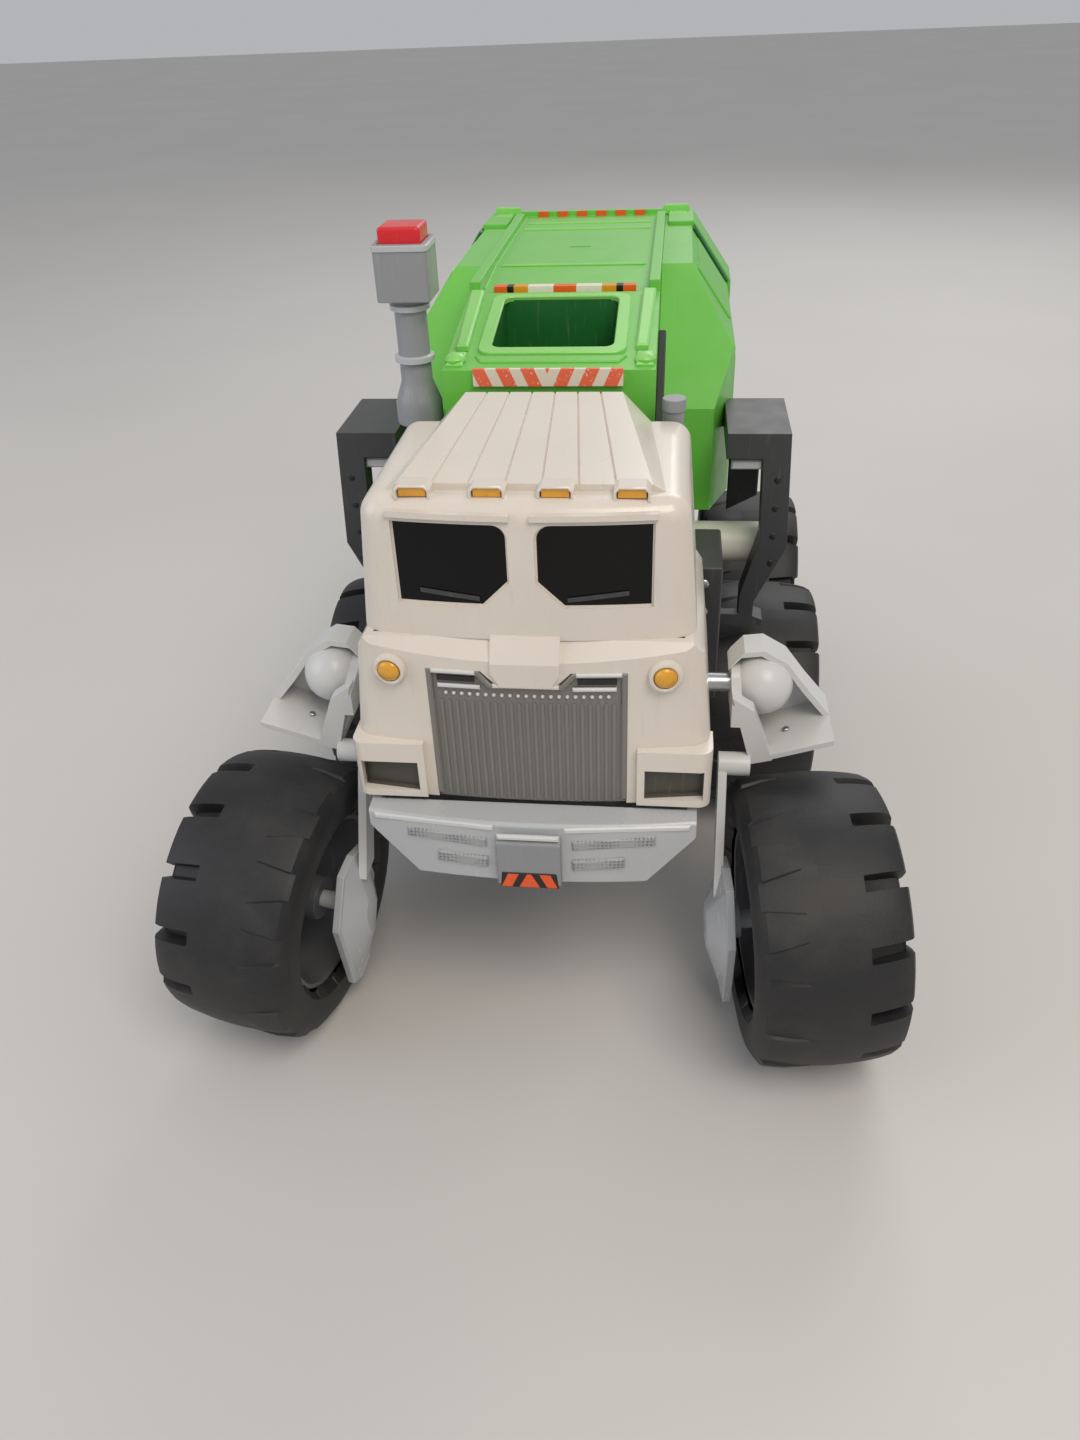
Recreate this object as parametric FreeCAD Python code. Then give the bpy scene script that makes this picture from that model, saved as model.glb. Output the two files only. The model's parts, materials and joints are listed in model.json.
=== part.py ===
import FreeCAD, Part
import math
import os

# Toy refuse truck that rears up on its back wheels. Millimetres, +Z up, the truck faces -Y,
# +X is its own left side. The origin is on the floor, under the middle of the toy.

# Wheels: six alike, hollow on the inner side
TYRE_R = 62.0
TYRE_W = 60.0
CROWN_DROP = 3.5
TYRE_WALL = 4.0
SHOULDER_IN = 3.0
SHOULDER_H = 5.0
BEAD_FLARE = 6.0
BEAD_R = 40.0
RIM_WALL = 2.5
RIM_BARREL_W = 50.0
WEB_FROM = 10.0
WEB_T = 3.0
WEB_HOLES = 6
WEB_HOLE_R = 6.5
WEB_HOLE_PITCH_R = 25.0
BOSS_R = 10.0
BOSS_BACK = 20.0
CAP_REACH = 26.0
AXLE_R = 4.0
AXLE_END = 20.0
RUNNING_GAP = 0.05
MOVING_GAP = 0.5

# Wheel positions
WHEEL_GAP = 4.0
FRONT_TO_MID = 2 * TYRE_R + 54.0
MID_TO_REAR = 2 * TYRE_R + WHEEL_GAP
FRONT_Y = -(FRONT_TO_MID + MID_TO_REAR) / 2
MID_Y = FRONT_Y + FRONT_TO_MID
REAR_Y = MID_Y + MID_TO_REAR
LEFT_SPLAY = (115.5, 6.5, 2.5)
RIGHT_SPLAY = (118.0, 9.0, 4.5)
CAMBER_LIFT = 0.3

# Chassis tub and the wheel truck that carries the four rear wheels
TUB_HALF = 60.0
TUB_WALL = 2.5
TUB_FLOOR_Z = TYRE_R + 3.0
DECK_Z = 2 * TYRE_R + 3.0
TUB_TOP_Z = DECK_Z + 49.0
TUB_FRONT_Y = MID_Y - 87.0
HULL_REAR_Y = REAR_Y + 52.0
TUB_REAR_Y = HULL_REAR_Y - 8.0
TRUCK_Y = (MID_Y + REAR_Y) / 2
TRUCK_Z = TYRE_R + 18.0
CROSS_SHAFT_R = 5.0
BEAM_T = 7.0
BEAM_GAP = 1.5
BEAM_END_R = 15.0
BEAM_BOSS_R = 20.0
BEAM_X = TUB_HALF + BEAM_GAP
WHEEL_SIDE_GAP = 2.5
REAR_X = BEAM_X + BEAM_T + WHEEL_SIDE_GAP + TYRE_W / 2

# Batteries and works inside the tub
CELL_R = 13.0
CELL_L = 49.0
CELL_NUB_R = 3.0
CELL_NUB_H = 1.5
CELL_GAP = 1.0
CELL_ROWS = 2
BAY_Y = MID_Y - 38.0
DOOR_EDGE = 3.0
DOOR_T = 3.5
DOOR_LAP_X = 2.0
SCREW_R = 1.5
SCREW_HEAD_R = 3.0
SCREW_HEAD_T = 1.6
SCREW_HEAD_GAP = 0.3
SCREW_L = 8.0
GEARBOX_HALF_X = 28.0
GEARBOX_HALF_Y = 22.0
GEARBOX_H = 60.0
MOTOR_R = 12.0
MOTOR_L = 30.0
BOARD_T = 1.6
BOARD_SIZE = 60.0
SPEAKER_R = 20.0
SPEAKER_T = 12.0

# Green hull
HULL_HALF = 80.5
HULL_WALL = 2.5
HULL_LOW_Z = TUB_TOP_Z + 3.0
HULL_SHOULDER_Z = DECK_Z + 124.0
HULL_TOP_Z = DECK_Z + 155.0
ROOF_HALF = 59.0
SPINE_HALF = 44.0
HULL_FRONT_Y = MID_Y - 17.0
FRONT_SLOPE_Z = DECK_Z + 103.0
FRONT_SLOPE_BACK = 62.0
CORNER_CUT_X = 9.5
CORNER_CUT_Y = 27.0
RAIL_W = 5.0
RAIL_H = 3.5
ROOF_SLOT = (11.0, 2.6, 1.2)
ROOF_DIP = 3.5
ROOF_DIP_L = 50.0
LIP_H = 3.0
LIP_T = 3.0
MARKER_COUNT = 6
MARKER_PITCH = 11.5
MARKER_SIZE = (6.0, 1.0, 3.0)

# Hopper between the cab and the hull
HOPPER_FRONT_Y = HULL_FRONT_Y - 64.0
HOPPER_BACK_Y = HULL_FRONT_Y + 12.0
HOPPER_BASE_Z = TUB_TOP_Z + 6.0
HOPPER_FRONT_Z = DECK_Z + 140.5
HOPPER_BACK_Z = DECK_Z + 153.5
MOUTH_HALF = 26.0
MOUTH_FRONT_Y = HULL_FRONT_Y - 46.0
MOUTH_BACK_Y = HULL_FRONT_Y + 4.0
CHUTE_WALL = 2.0
CHUTE_DEPTH = 34.0
BIN_FLOOR_T = 2.5
BIN_FRONT_RISE = 24.0
STRIPE_HALF = 31.0
STRIPE_T = 2.0
STRIPE_H = 7.0
LIGHT_BAR = (66.0, 5.0, 4.0)
POST_R = 4.0
STRUT_W = 3.5
STRUT_H = 6.0

# Tailgate
GATE_T = 3.0
GATE_HINGE_R = 3.0
GATE_GAP = 0.6
GATE_LOW_Z = TUB_FLOOR_Z + 45.0
GATE_RIB_COUNT = 5
GATE_RIB = (4.0, 3.0)

# Exhaust stack with the push button, and the stub pipe
STACK_X = -58.0
STACK_Y = FRONT_Y + 110.0
PIPE_R = 6.7
PIPE_BORE_R = 4.7
PIPE_BASE_Z = TUB_TOP_Z + 6.0
COLLAR_R = 10.0
COLLAR_H = 9.0
COLLAR_Z = DECK_Z + 124.0
BOX_BASE_Z = DECK_Z + 167.0
BOX_HALF = 11.0
BOX_H = 22.0
BOX_WALL = 2.0
BOX_FLOOR = 3.0
BUTTON_GAP = 0.35
BUTTON_RISE = 6.0
BUTTON_TRAVEL = 3.0
BUTTON_SPRING_ROOM = 4.0
BUTTON_DEPTH = BOX_H - BOX_FLOOR - BUTTON_TRAVEL - BUTTON_SPRING_ROOM
STUB_X = 52.0
STUB_Y = FRONT_Y + 88.0
STUB_R = 4.2
STUB_TOP_Z = DECK_Z + 132.0

# Cab
CAB_FRONT_Y = FRONT_Y - 10.0
CAB_BACK_Y = FRONT_Y + 80.0
CAB_WALL = 3.0
CAB_LOW_HALF = 70.0
CAB_SILL_Z = DECK_Z + 28.0
BELT_Z = DECK_Z + 72.0
BELT_HALF = CAB_LOW_HALF - 4.0
ROOF_EDGE_HALF = CAB_LOW_HALF - 11.5
UPPER_BELT_HALF = CAB_LOW_HALF - 7.0
CAB_TOP_Z = DECK_Z + 125.0
SCREEN_SETBACK = 5.0
LEDGE_DROP = 7.0
LEDGE_RUN = 4.5
CAB_BOW = 6.0
CORNER_R = 9.0
ROOF_R = 8.0
WINDOW_IN = 5.5
WINDOW_OUT = CAB_LOW_HALF - 24.0
WINDOW_LOW_Z = DECK_Z + 86.0
WINDOW_TOP_Z = DECK_Z + 117.0
WINDOW_CUT = 9.5
WINDOW_CORNER_R = 5.0
PANE_T = 1.6
PANE_SINK = 1.4
PANE_CLEARANCE = 0.1
PANE_REBATE = 0.8
THROUGH = 5.0
FRONT_DEPTH = 40.0
BROW_HALF = WINDOW_OUT + 2.0
BROW_Z = DECK_Z + 119.5
BROW_T = 1.4
BROW_H = 2.2
NOSE_HALF = 13.0
NOSE_TIP_HALF = 8.5
NOSE_LOW_Z = DECK_Z + 53.0
NOSE_T = 1.2
GRILLE_HALF = CAB_LOW_HALF - 32.0
GRILLE_TOP_Z = DECK_Z + 61.0
GRILLE_NOTCH_HALF = 14.0
GRILLE_NOTCH_Z = DECK_Z + 55.0
GRILLE_T = 1.5
GRILLE_SINK = 2.0
GRILLE_RIBS = 24
GRILLE_RIB_W = 1.2
GRILLE_RIB_T = 0.6
LAMP_X = GRILLE_HALF + 14.0
LAMP_Z = DECK_Z + 60.0
LAMP_RING_R = 5.8
LAMP_RING_T = 2.5
LAMP_LENS_R = 4.5
LAMP_BORE_DEPTH = 4.0
ROOF_LAMP_XS = (12.0, CAB_LOW_HALF - 31.5)
ROOF_LAMP = (10.0, 3.5, 3.5)
ROOF_LAMP_BACK = 7.0
VENT_IN = GRILLE_HALF + 4.0
VENT_OUT = CAB_LOW_HALF + 1.0
VENT_LOW_Z = DECK_Z + 1.0
VENT_TOP_Z = DECK_Z + 27.0
VENT_FRONT = 3.0
VENT_DEPTH = 16.0
VENT_RIM = 3.0
VENT_SLOT_H = 14.0
VENT_SLOT_DEPTH = 7.0
WIPER_T = 0.9
WIPER_W = 1.6
WIPER_L = 22.0
DEFLECTOR_FRONT = 10.0
DEFLECTOR_H_FRONT = 2.5
DEFLECTOR_H_BACK = 12.0
DEFLECTOR_TOP_FRONT = CAB_LOW_HALF - 24.0
DEFLECTOR_TOP_BACK = CAB_LOW_HALF - 38.0
DEFLECTOR_BASE_FRONT = CAB_LOW_HALF - 20.0
DEFLECTOR_BASE_BACK = CAB_LOW_HALF - 27.0
DEFLECTOR_RIBS = 7
DEFLECTOR_GROOVE = 0.9

# Shoulder shaft, which the cab and both arms turn on
SHOULDER_Y = FRONT_Y + 43.0
SHOULDER_Z = DECK_Z + 26.0
SHOULDER_R = 4.0
SHOULDER_REACH = 100.0
CAB_BOSS_R = 8.0
CAB_BOSS_L = 10.0
NECK_HALF = 22.0
NECK_NOSE_R = 14.0
NECK_WALL = 3.0

# Jaw
JAW_GAP = 1.5
JAW_DROP = 32.0
JAW_FRONT = 13.0
JAW_LEDGE = 14.0
JAW_LEDGE_T = 3.0
JAW_EDGE_CUT = 1.2
JAW_TOP_HALF = BELT_HALF
JAW_LOW_HALF = JAW_TOP_HALF - 20.0
JAW_LIP_H = 8.0
JAW_DEPTH = 69.0
JAW_WALL = 4.0
JAW_PIN_R = 2.5
PIN_END_WALL = 3.0
JAW_PIN_Y = FRONT_Y + 61.0
JAW_PIN_Z = DECK_Z + 9.0
JAW_LUG_T = 6.0
JAW_LUG_R = 6.0
JAW_LUG_X = JAW_TOP_HALF - JAW_WALL - JAW_LUG_T + 1.0
BLOCK_HALF = 13.0
BLOCK_T = 4.0
BLOCK_H = 24.0
CHEVRON_H = 9.0

# Arms
BALL_R = 13.0
BALL_X = 92.0
FENDER_T = 2.4
FENDER_FRONT = 22.0
FENDER_BACK = 12.0
FENDER_IN_X = 79.0
FENDER_CORNER_X = 88.0
FENDER_TIP_X = 121.0
FENDER_TIP_DROP = 13.0
FENDER_FLOOR_DROP = 24.0
FENDER_TOP_RISE = 17.0
ARCH_FRONT = 3.0
ARCH_POINTS = ((-13.0, 7.0), (-8.0, 1.0), (0.0, 0.0), (10.0, 6.0), (19.0, 18.0))
BAR_W = 9.0
BAR_T = 7.0
LINK_X = 75.0
LINK_T = 3.5
LINK_W = 13.0
LINK_CAP_R = 5.0
PLATE_T = 3.5
PLATE_BACK = 33.0
PLATE_HALF_W = 20.0
PLATE_TOP = 30.0
PLATE_LOW = -46.0
PLATE_FACET = 7.0
PIN_BALL_R = 8.0

# Hip brackets over the middle wheels
HIP_FRONT_Y = HULL_FRONT_Y - 28.0
HIP_T = 12.0
HIP_SHELF_L = 50.0
HIP_TOP_Z = DECK_Z + 101.0
HIP_OUT_X = 106.0
HIP_LEG_W = 13.0
HIP_BAR_H = 12.0
HIP_ELBOW_Z = DECK_Z + 45.0
HIP_ELBOW_OUT = 1.5
HIP_FOOT_X = 87.0
HIP_FOOT_W = 7.0
HIP_FOOT_TOE = 5.0
HIP_KNEE_Z = DECK_Z + 16.0
HIP_FOOT_Z = DECK_Z + 3.0
HIP_BUSH_R = 10.0
CHEEK_T = 16.0
CHEEK_BACK = 42.0


def vec(x, y, z):
    return FreeCAD.Vector(x, y, z)


def box(x0, x1, y0, y1, z0, z1):
    return Part.makeBox(x1 - x0, y1 - y0, z1 - z0, vec(x0, y0, z0))


def rod(start, end, radius):
    return Part.makeCylinder(radius, (end - start).Length, start, end - start)


def cross_rod(x0, x1, y, z, radius):
    """Rod along X."""
    return rod(vec(x0, y, z), vec(x1, y, z), radius)


def prism(points, along):
    """Flat outline carried along a vector."""
    wire = Part.makePolygon(points + [points[0]])
    return Part.Face(wire).extrude(along)


def prism_x(outline, x0, x1):
    """Outline of (y, z) points between two X stations."""
    return prism([vec(x0, y, z) for y, z in outline], vec(x1 - x0, 0, 0))


def prism_y(outline, y0, y1):
    """Outline of (x, z) points between two Y stations."""
    return prism([vec(x, y0, z) for x, z in outline], vec(0, y1 - y0, 0))


def prism_z(outline, z0, z1):
    """Outline of (x, y) points between two heights."""
    return prism([vec(x, y, z0) for x, y in outline], vec(0, 0, z1 - z0))


def fuse(first, *others):
    return first.multiFuse(list(others)).removeSplitter()


def cut(body, *tools):
    return body.cut(list(tools))


def mirrored(shape):
    """The same piece on the truck's other side."""
    return shape.mirror(vec(0, 0, 0), vec(1, 0, 0))


def pair(shape):
    return Part.makeCompound([shape, mirrored(shape)])


def symmetric(outline):
    """Right half of an outline, from top to bottom, closed by its mirror image."""
    return outline + [(-x, z) for x, z in reversed(outline)]


# ---- wheels -------------------------------------------------------------------------------

def tyre_section(wall):
    """Right half of the tyre's outline, drawn in by a wall, as (x, radius) corners from shoulder to bead."""
    half = TYRE_W / 2 - wall
    shoulder_x = half - SHOULDER_IN
    shoulder_r = TYRE_R - CROWN_DROP - wall
    wall_r = BEAD_R + BEAD_FLARE
    return [(shoulder_x, shoulder_r), (half, shoulder_r - SHOULDER_H), (half, wall_r),
            (RIM_BARREL_W / 2 - wall, BEAD_R)]


def tyre_solid(wall):
    """Turned solid between the crown's arc and the bead, both sides alike."""
    corners = tyre_section(wall)
    side = [vec(x, r, 0) for x, r in corners] + [vec(-x, r, 0) for x, r in reversed(corners)]
    crown = Part.Arc(side[-1], vec(0, TYRE_R - wall, 0), side[0])
    edges = [crown.toShape()] + [Part.makeLine(a, b) for a, b in zip(side, side[1:])]
    face = Part.Face(Part.Wire(Part.__sortEdges__(edges)))
    return face.revolve(vec(0, 0, 0), vec(1, 0, 0), 360)


def tyre():
    """Crowned hollow tyre about the X axis, open at its beads, where the rim closes it."""
    gap = RIM_BARREL_W / 2 - TYRE_WALL
    mouth = cross_rod(-gap, gap, 0, 0, BEAD_R + 0.5)
    bore = cross_rod(-gap, gap, 0, 0, BEAD_R - 1)
    return tyre_solid(0).cut(fuse(tyre_solid(TYRE_WALL), mouth.cut(bore)))


def rim():
    """Rim about the X axis: barrel, web with holes, and a boss closed at its outer end."""
    half = RIM_BARREL_W / 2
    barrel = cross_rod(-half, half, 0, 0, BEAD_R)
    hollow = cross_rod(-half - 1, half + 1, 0, 0, BEAD_R - RIM_WALL)
    web = cross_rod(WEB_FROM, WEB_FROM + WEB_T, 0, 0, BEAD_R - RIM_WALL / 2)
    boss = cross_rod(-BOSS_BACK, CAP_REACH, 0, 0, BOSS_R)
    body = fuse(barrel.cut(hollow), web, boss)
    holes = [cross_rod(-BOSS_BACK - 1, AXLE_END + MOVING_GAP, 0, 0, AXLE_R + RUNNING_GAP)]
    for index in range(WEB_HOLES):
        angle = 2 * math.pi * index / WEB_HOLES
        y = WEB_HOLE_PITCH_R * math.cos(angle)
        z = WEB_HOLE_PITCH_R * math.sin(angle)
        holes.append(cross_rod(WEB_FROM - 1, WEB_FROM + WEB_T + 1, y, z, WEB_HOLE_R))
    return cut(body, *holes)


def front_splay(side):
    """Wheel centre's X, toe-out and camber, which the play in each arm leaves a little different."""
    x, toe, camber = LEFT_SPLAY if side > 0 else RIGHT_SPLAY
    return x, math.radians(toe), math.radians(camber)


def at_wheel(shape, side, axis, place):
    """From a frame about the wheel's own axis to its place; side is 1 on the left, -1 on the right."""
    placed = shape.copy()
    if side < 0:
        placed.rotate(vec(0, 0, 0), vec(0, 0, 1), 180)
    turn = FreeCAD.Rotation(vec(side, 0, 0), vec(side * axis.x, axis.y, axis.z))
    placed.Placement = FreeCAD.Placement(vec(side * place.x, place.y, place.z), turn) * placed.Placement
    return placed


def at_front_wheel(shape, side):
    x, toe, camber = front_splay(side)
    axis = vec(math.cos(toe) * math.cos(camber), math.sin(toe) * math.cos(camber), math.sin(camber))
    return at_wheel(shape, side, axis, vec(x, FRONT_Y, TYRE_R + CAMBER_LIFT))


def at_rear_wheel(shape, side, y):
    return at_wheel(shape, side, vec(1, 0, 0), vec(REAR_X, y, TYRE_R))


# ---- chassis ------------------------------------------------------------------------------

def bay_half_y():
    return CELL_ROWS * (CELL_R + CELL_GAP / 2) + 1.0


def bay_half_x():
    return CELL_L + CELL_NUB_H + 1.5


def chassis_tub():
    outer = box(-TUB_HALF, TUB_HALF, TUB_FRONT_Y, TUB_REAR_Y, TUB_FLOOR_Z, TUB_TOP_Z)
    inner = box(-TUB_HALF + TUB_WALL, TUB_HALF - TUB_WALL, TUB_FRONT_Y + TUB_WALL,
                TUB_REAR_Y - TUB_WALL, TUB_FLOOR_Z + TUB_WALL, TUB_TOP_Z + 1)
    bore = cross_rod(-TUB_HALF - 1, TUB_HALF + 1, TRUCK_Y, TRUCK_Z, CROSS_SHAFT_R + RUNNING_GAP)
    bay = box(-bay_half_x(), bay_half_x(), BAY_Y - bay_half_y(), BAY_Y + bay_half_y(),
              TUB_FLOOR_Z - 1, TUB_FLOOR_Z + TUB_WALL + 1)
    screw_holes = [rod(vec(x, y, TUB_FLOOR_Z), vec(x, y, TUB_FLOOR_Z + SCREW_L), SCREW_R)
                   for x, y in door_screw_places()]
    return cut(outer, inner, bore, bay, *screw_holes)


def door_screw_places():
    reach = bay_half_y() + DOOR_EDGE + 2.0
    return [(0, BAY_Y - reach), (0, BAY_Y + reach)]


def battery_door():
    """Cover under the cells, with a thin edge that laps the tub's floor from below."""
    gap = MOVING_GAP / 2
    plug = box(-bay_half_x() + gap, bay_half_x() - gap, BAY_Y - bay_half_y() + gap,
               BAY_Y + bay_half_y() - gap, TUB_FLOOR_Z, TUB_FLOOR_Z + TUB_WALL)
    edge = 2 * DOOR_EDGE + 2.0
    low = TUB_FLOOR_Z - DOOR_T
    lap = box(-bay_half_x() - DOOR_LAP_X, bay_half_x() + DOOR_LAP_X, BAY_Y - bay_half_y() - edge,
              BAY_Y + bay_half_y() + edge, low, TUB_FLOOR_Z)
    holes = []
    for x, y in door_screw_places():
        holes.append(rod(vec(x, y, low - 1), vec(x, y, TUB_FLOOR_Z + 1), SCREW_R))
        holes.append(rod(vec(x, y, low - 1), vec(x, y, screw_seat_z()), SCREW_HEAD_R + SCREW_HEAD_GAP))
    return cut(fuse(plug, lap), *holes)


def screw_seat_z():
    """Height of the face that the sunk screw heads bear on."""
    return TUB_FLOOR_Z - DOOR_T + SCREW_HEAD_T + SCREW_HEAD_GAP


def door_screws():
    screws = []
    for x, y in door_screw_places():
        head_z = screw_seat_z()
        head = rod(vec(x, y, head_z - SCREW_HEAD_T), vec(x, y, head_z), SCREW_HEAD_R)
        shank = rod(vec(x, y, head_z), vec(x, y, TUB_FLOOR_Z + TUB_WALL), SCREW_R)
        screws.append(fuse(head, shank))
    return Part.makeCompound(screws)


def batteries():
    cells = []
    z = TUB_FLOOR_Z + TUB_WALL + CELL_R
    for row in range(CELL_ROWS):
        y = BAY_Y + (row - (CELL_ROWS - 1) / 2) * (2 * CELL_R + CELL_GAP)
        body = cross_rod(0.5, CELL_L, y, z, CELL_R)
        nub = cross_rod(CELL_L, CELL_L + CELL_NUB_H, y, z, CELL_NUB_R)
        cell = fuse(body, nub)
        cells += [cell, mirrored(cell)]
    return Part.makeCompound(cells)


def drive_gearbox():
    low = TUB_FLOOR_Z + TUB_WALL
    case = box(-GEARBOX_HALF_X, GEARBOX_HALF_X, TRUCK_Y - GEARBOX_HALF_Y, TRUCK_Y + GEARBOX_HALF_Y,
               low, low + GEARBOX_H)
    bore = cross_rod(-GEARBOX_HALF_X - 1, GEARBOX_HALF_X + 1, TRUCK_Y, TRUCK_Z,
                     CROSS_SHAFT_R + RUNNING_GAP)
    return case.cut(bore)


def drive_motor():
    x = GEARBOX_HALF_X - MOTOR_R
    y = TRUCK_Y + GEARBOX_HALF_Y
    z = TUB_FLOOR_Z + TUB_WALL + MOTOR_R + 4.0
    return rod(vec(x, y, z), vec(x, y + MOTOR_L, z), MOTOR_R)


def circuit_board():
    y = TUB_REAR_Y - TUB_WALL - 6.0
    low = TUB_FLOOR_Z + TUB_WALL
    return box(-BOARD_SIZE / 2, BOARD_SIZE / 2, y - BOARD_T, y, low, low + BOARD_SIZE)


def speaker():
    """Loudspeaker on the tub floor behind the gearbox, facing down."""
    x = -TUB_HALF + TUB_WALL + SPEAKER_R + 1.0
    y = TRUCK_Y + GEARBOX_HALF_Y + SPEAKER_R + 1.0
    low = TUB_FLOOR_Z + TUB_WALL
    magnet = rod(vec(x, y, low + SPEAKER_T / 2), vec(x, y, low + SPEAKER_T), SPEAKER_R / 2)
    cone = rod(vec(x, y, low), vec(x, y, low + SPEAKER_T / 2), SPEAKER_R)
    return fuse(cone, magnet)


def neck_frame():
    """Beam from the tub's front wall to the shoulder shaft, cored out from below."""
    nose = cross_rod(-NECK_HALF, NECK_HALF, SHOULDER_Y, SHOULDER_Z, NECK_NOSE_R)
    beam = box(-NECK_HALF, NECK_HALF, SHOULDER_Y, TUB_FRONT_Y,
               SHOULDER_Z - NECK_NOSE_R, SHOULDER_Z + NECK_NOSE_R)
    bore = cross_rod(-NECK_HALF - 1, NECK_HALF + 1, SHOULDER_Y, SHOULDER_Z, SHOULDER_R)
    inside = NECK_HALF - NECK_WALL
    core = box(-inside, inside, SHOULDER_Y + NECK_NOSE_R, TUB_FRONT_Y - NECK_WALL,
               SHOULDER_Z - NECK_NOSE_R - 1, SHOULDER_Z + NECK_NOSE_R - NECK_WALL)
    return cut(fuse(nose, beam), bore, core)


def shoulder_shaft():
    return cross_rod(-SHOULDER_REACH, SHOULDER_REACH, SHOULDER_Y, SHOULDER_Z, SHOULDER_R)


def cheek():
    """Grey left cheek that widens the tub's front end behind the cab."""
    back = TUB_FRONT_Y + CHEEK_BACK
    low = SHOULDER_Z - 40
    outline = [(TUB_FRONT_Y, low), (back - 4, low), (back, low + 6), (back, HOPPER_BASE_Z),
               (TUB_FRONT_Y, HOPPER_BASE_Z)]
    return prism_x(outline, TUB_HALF, TUB_HALF + CHEEK_T)


def chassis_cheeks():
    return pair(cheek())


def hip_brackets():
    """Dark elbow brackets that reach out over the middle wheels, each with a shelf on top."""
    top = HIP_TOP_Z
    in_x = HIP_OUT_X - HIP_LEG_W
    foot_out = HIP_FOOT_X + HIP_FOOT_W
    outline = [(HULL_HALF - 4, top), (HIP_OUT_X - 1, top), (HIP_OUT_X + HIP_ELBOW_OUT, HIP_ELBOW_Z),
               (foot_out, HIP_KNEE_Z), (foot_out, HIP_FOOT_Z + 5), (foot_out + HIP_FOOT_TOE, HIP_FOOT_Z + 3),
               (foot_out + HIP_FOOT_TOE, HIP_FOOT_Z), (HIP_FOOT_X, HIP_FOOT_Z), (HIP_FOOT_X, HIP_KNEE_Z + 4),
               (in_x + HIP_ELBOW_OUT, HIP_ELBOW_Z + 4), (in_x, top - HIP_BAR_H),
               (HULL_HALF - 4, top - HIP_BAR_H)]
    elbow = prism_y(outline, HIP_FRONT_Y, HIP_FRONT_Y + HIP_T)
    shelf = box(HULL_HALF - 4, HIP_OUT_X - 1, HIP_FRONT_Y, HIP_FRONT_Y + HIP_SHELF_L, top - HIP_BAR_H, top)
    tie = box(TUB_HALF + CHEEK_T / 2, HIP_FOOT_X + 1, HIP_FRONT_Y, HIP_FRONT_Y + HIP_T / 2, HIP_FOOT_Z,
              HIP_FOOT_Z + 6)
    return pair(cut(fuse(elbow, shelf, tie), hull_block(0), cheek()))


def hip_bushes():
    """White bushes between the brackets and the tub."""
    y = HIP_FRONT_Y + HIP_T + HIP_BUSH_R
    z = TUB_TOP_Z - HIP_BUSH_R - 1
    return pair(cross_rod(TUB_HALF, HIP_OUT_X - HIP_LEG_W + 6, y, z, HIP_BUSH_R))


# ---- wheel truck --------------------------------------------------------------------------

def truck_cross_shaft():
    reach = BEAM_X + BEAM_T
    return cross_rod(-reach, reach, TRUCK_Y, TRUCK_Z, CROSS_SHAFT_R)


def truck_beams():
    """Gear case on each side, between the tub and the wheels."""
    x0 = BEAM_X
    x1 = BEAM_X + BEAM_T
    low = TYRE_R - BEAM_END_R
    high = TYRE_R + BEAM_END_R
    bar = box(x0, x1, MID_Y, REAR_Y, low, high)
    ends = [cross_rod(x0, x1, y, TYRE_R, BEAM_END_R) for y in (MID_Y, REAR_Y)]
    boss = cross_rod(x0, x1, TRUCK_Y, TRUCK_Z, BEAM_BOSS_R)
    bores = [cross_rod(x0 - 1, x1 + 1, y, TYRE_R, AXLE_R) for y in (MID_Y, REAR_Y)]
    bores.append(cross_rod(x0 - 1, x1 + 1, TRUCK_Y, TRUCK_Z, CROSS_SHAFT_R))
    return pair(cut(fuse(bar, boss, *ends), *bores))


def rear_axles():
    axles = []
    for y in (MID_Y, REAR_Y):
        axle = cross_rod(BEAM_X, REAR_X + AXLE_END, y, TYRE_R, AXLE_R)
        axles += [axle, mirrored(axle)]
    return Part.makeCompound(axles)


# ---- green hull ---------------------------------------------------------------------------

def hull_block(inset):
    """Solid hull between the chamfered side section, the sloped front and the cut corners."""
    half = HULL_HALF - inset
    top = HULL_TOP_Z - inset
    section = symmetric([(ROOF_HALF - inset / 2, top), (half, HULL_SHOULDER_Z - inset / 2),
                         (half, HULL_LOW_Z + inset)])
    front = HULL_FRONT_Y + inset
    back = HULL_REAR_Y + (1 if inset else 0)
    body = prism_y(section, front, back)
    slope = prism_x([(front - 1, FRONT_SLOPE_Z - inset), (front, FRONT_SLOPE_Z - inset),
                     (front + FRONT_SLOPE_BACK, top), (front + FRONT_SLOPE_BACK, top + 1),
                     (front - 1, top + 1)], -half - 1, half + 1)
    corner = prism_z([(half - CORNER_CUT_X, front), (half, front + CORNER_CUT_Y),
                      (half + 1, front + CORNER_CUT_Y), (half + 1, front - 1),
                      (half - CORNER_CUT_X, front - 1)], HULL_LOW_Z - 1, top + 1)
    return cut(body, slope, corner, mirrored(corner))


def hull_shell():
    return hull_block(0).cut(hull_block(HULL_WALL))


def hull_side(shell):
    """Left side armour: chamfer, side, front panel and under-lip."""
    keep = box(SPINE_HALF, HULL_HALF + 1, HULL_FRONT_Y - 1, HULL_REAR_Y, HULL_LOW_Z - 1, HULL_TOP_Z + 1)
    return shell.common(keep)


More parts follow.
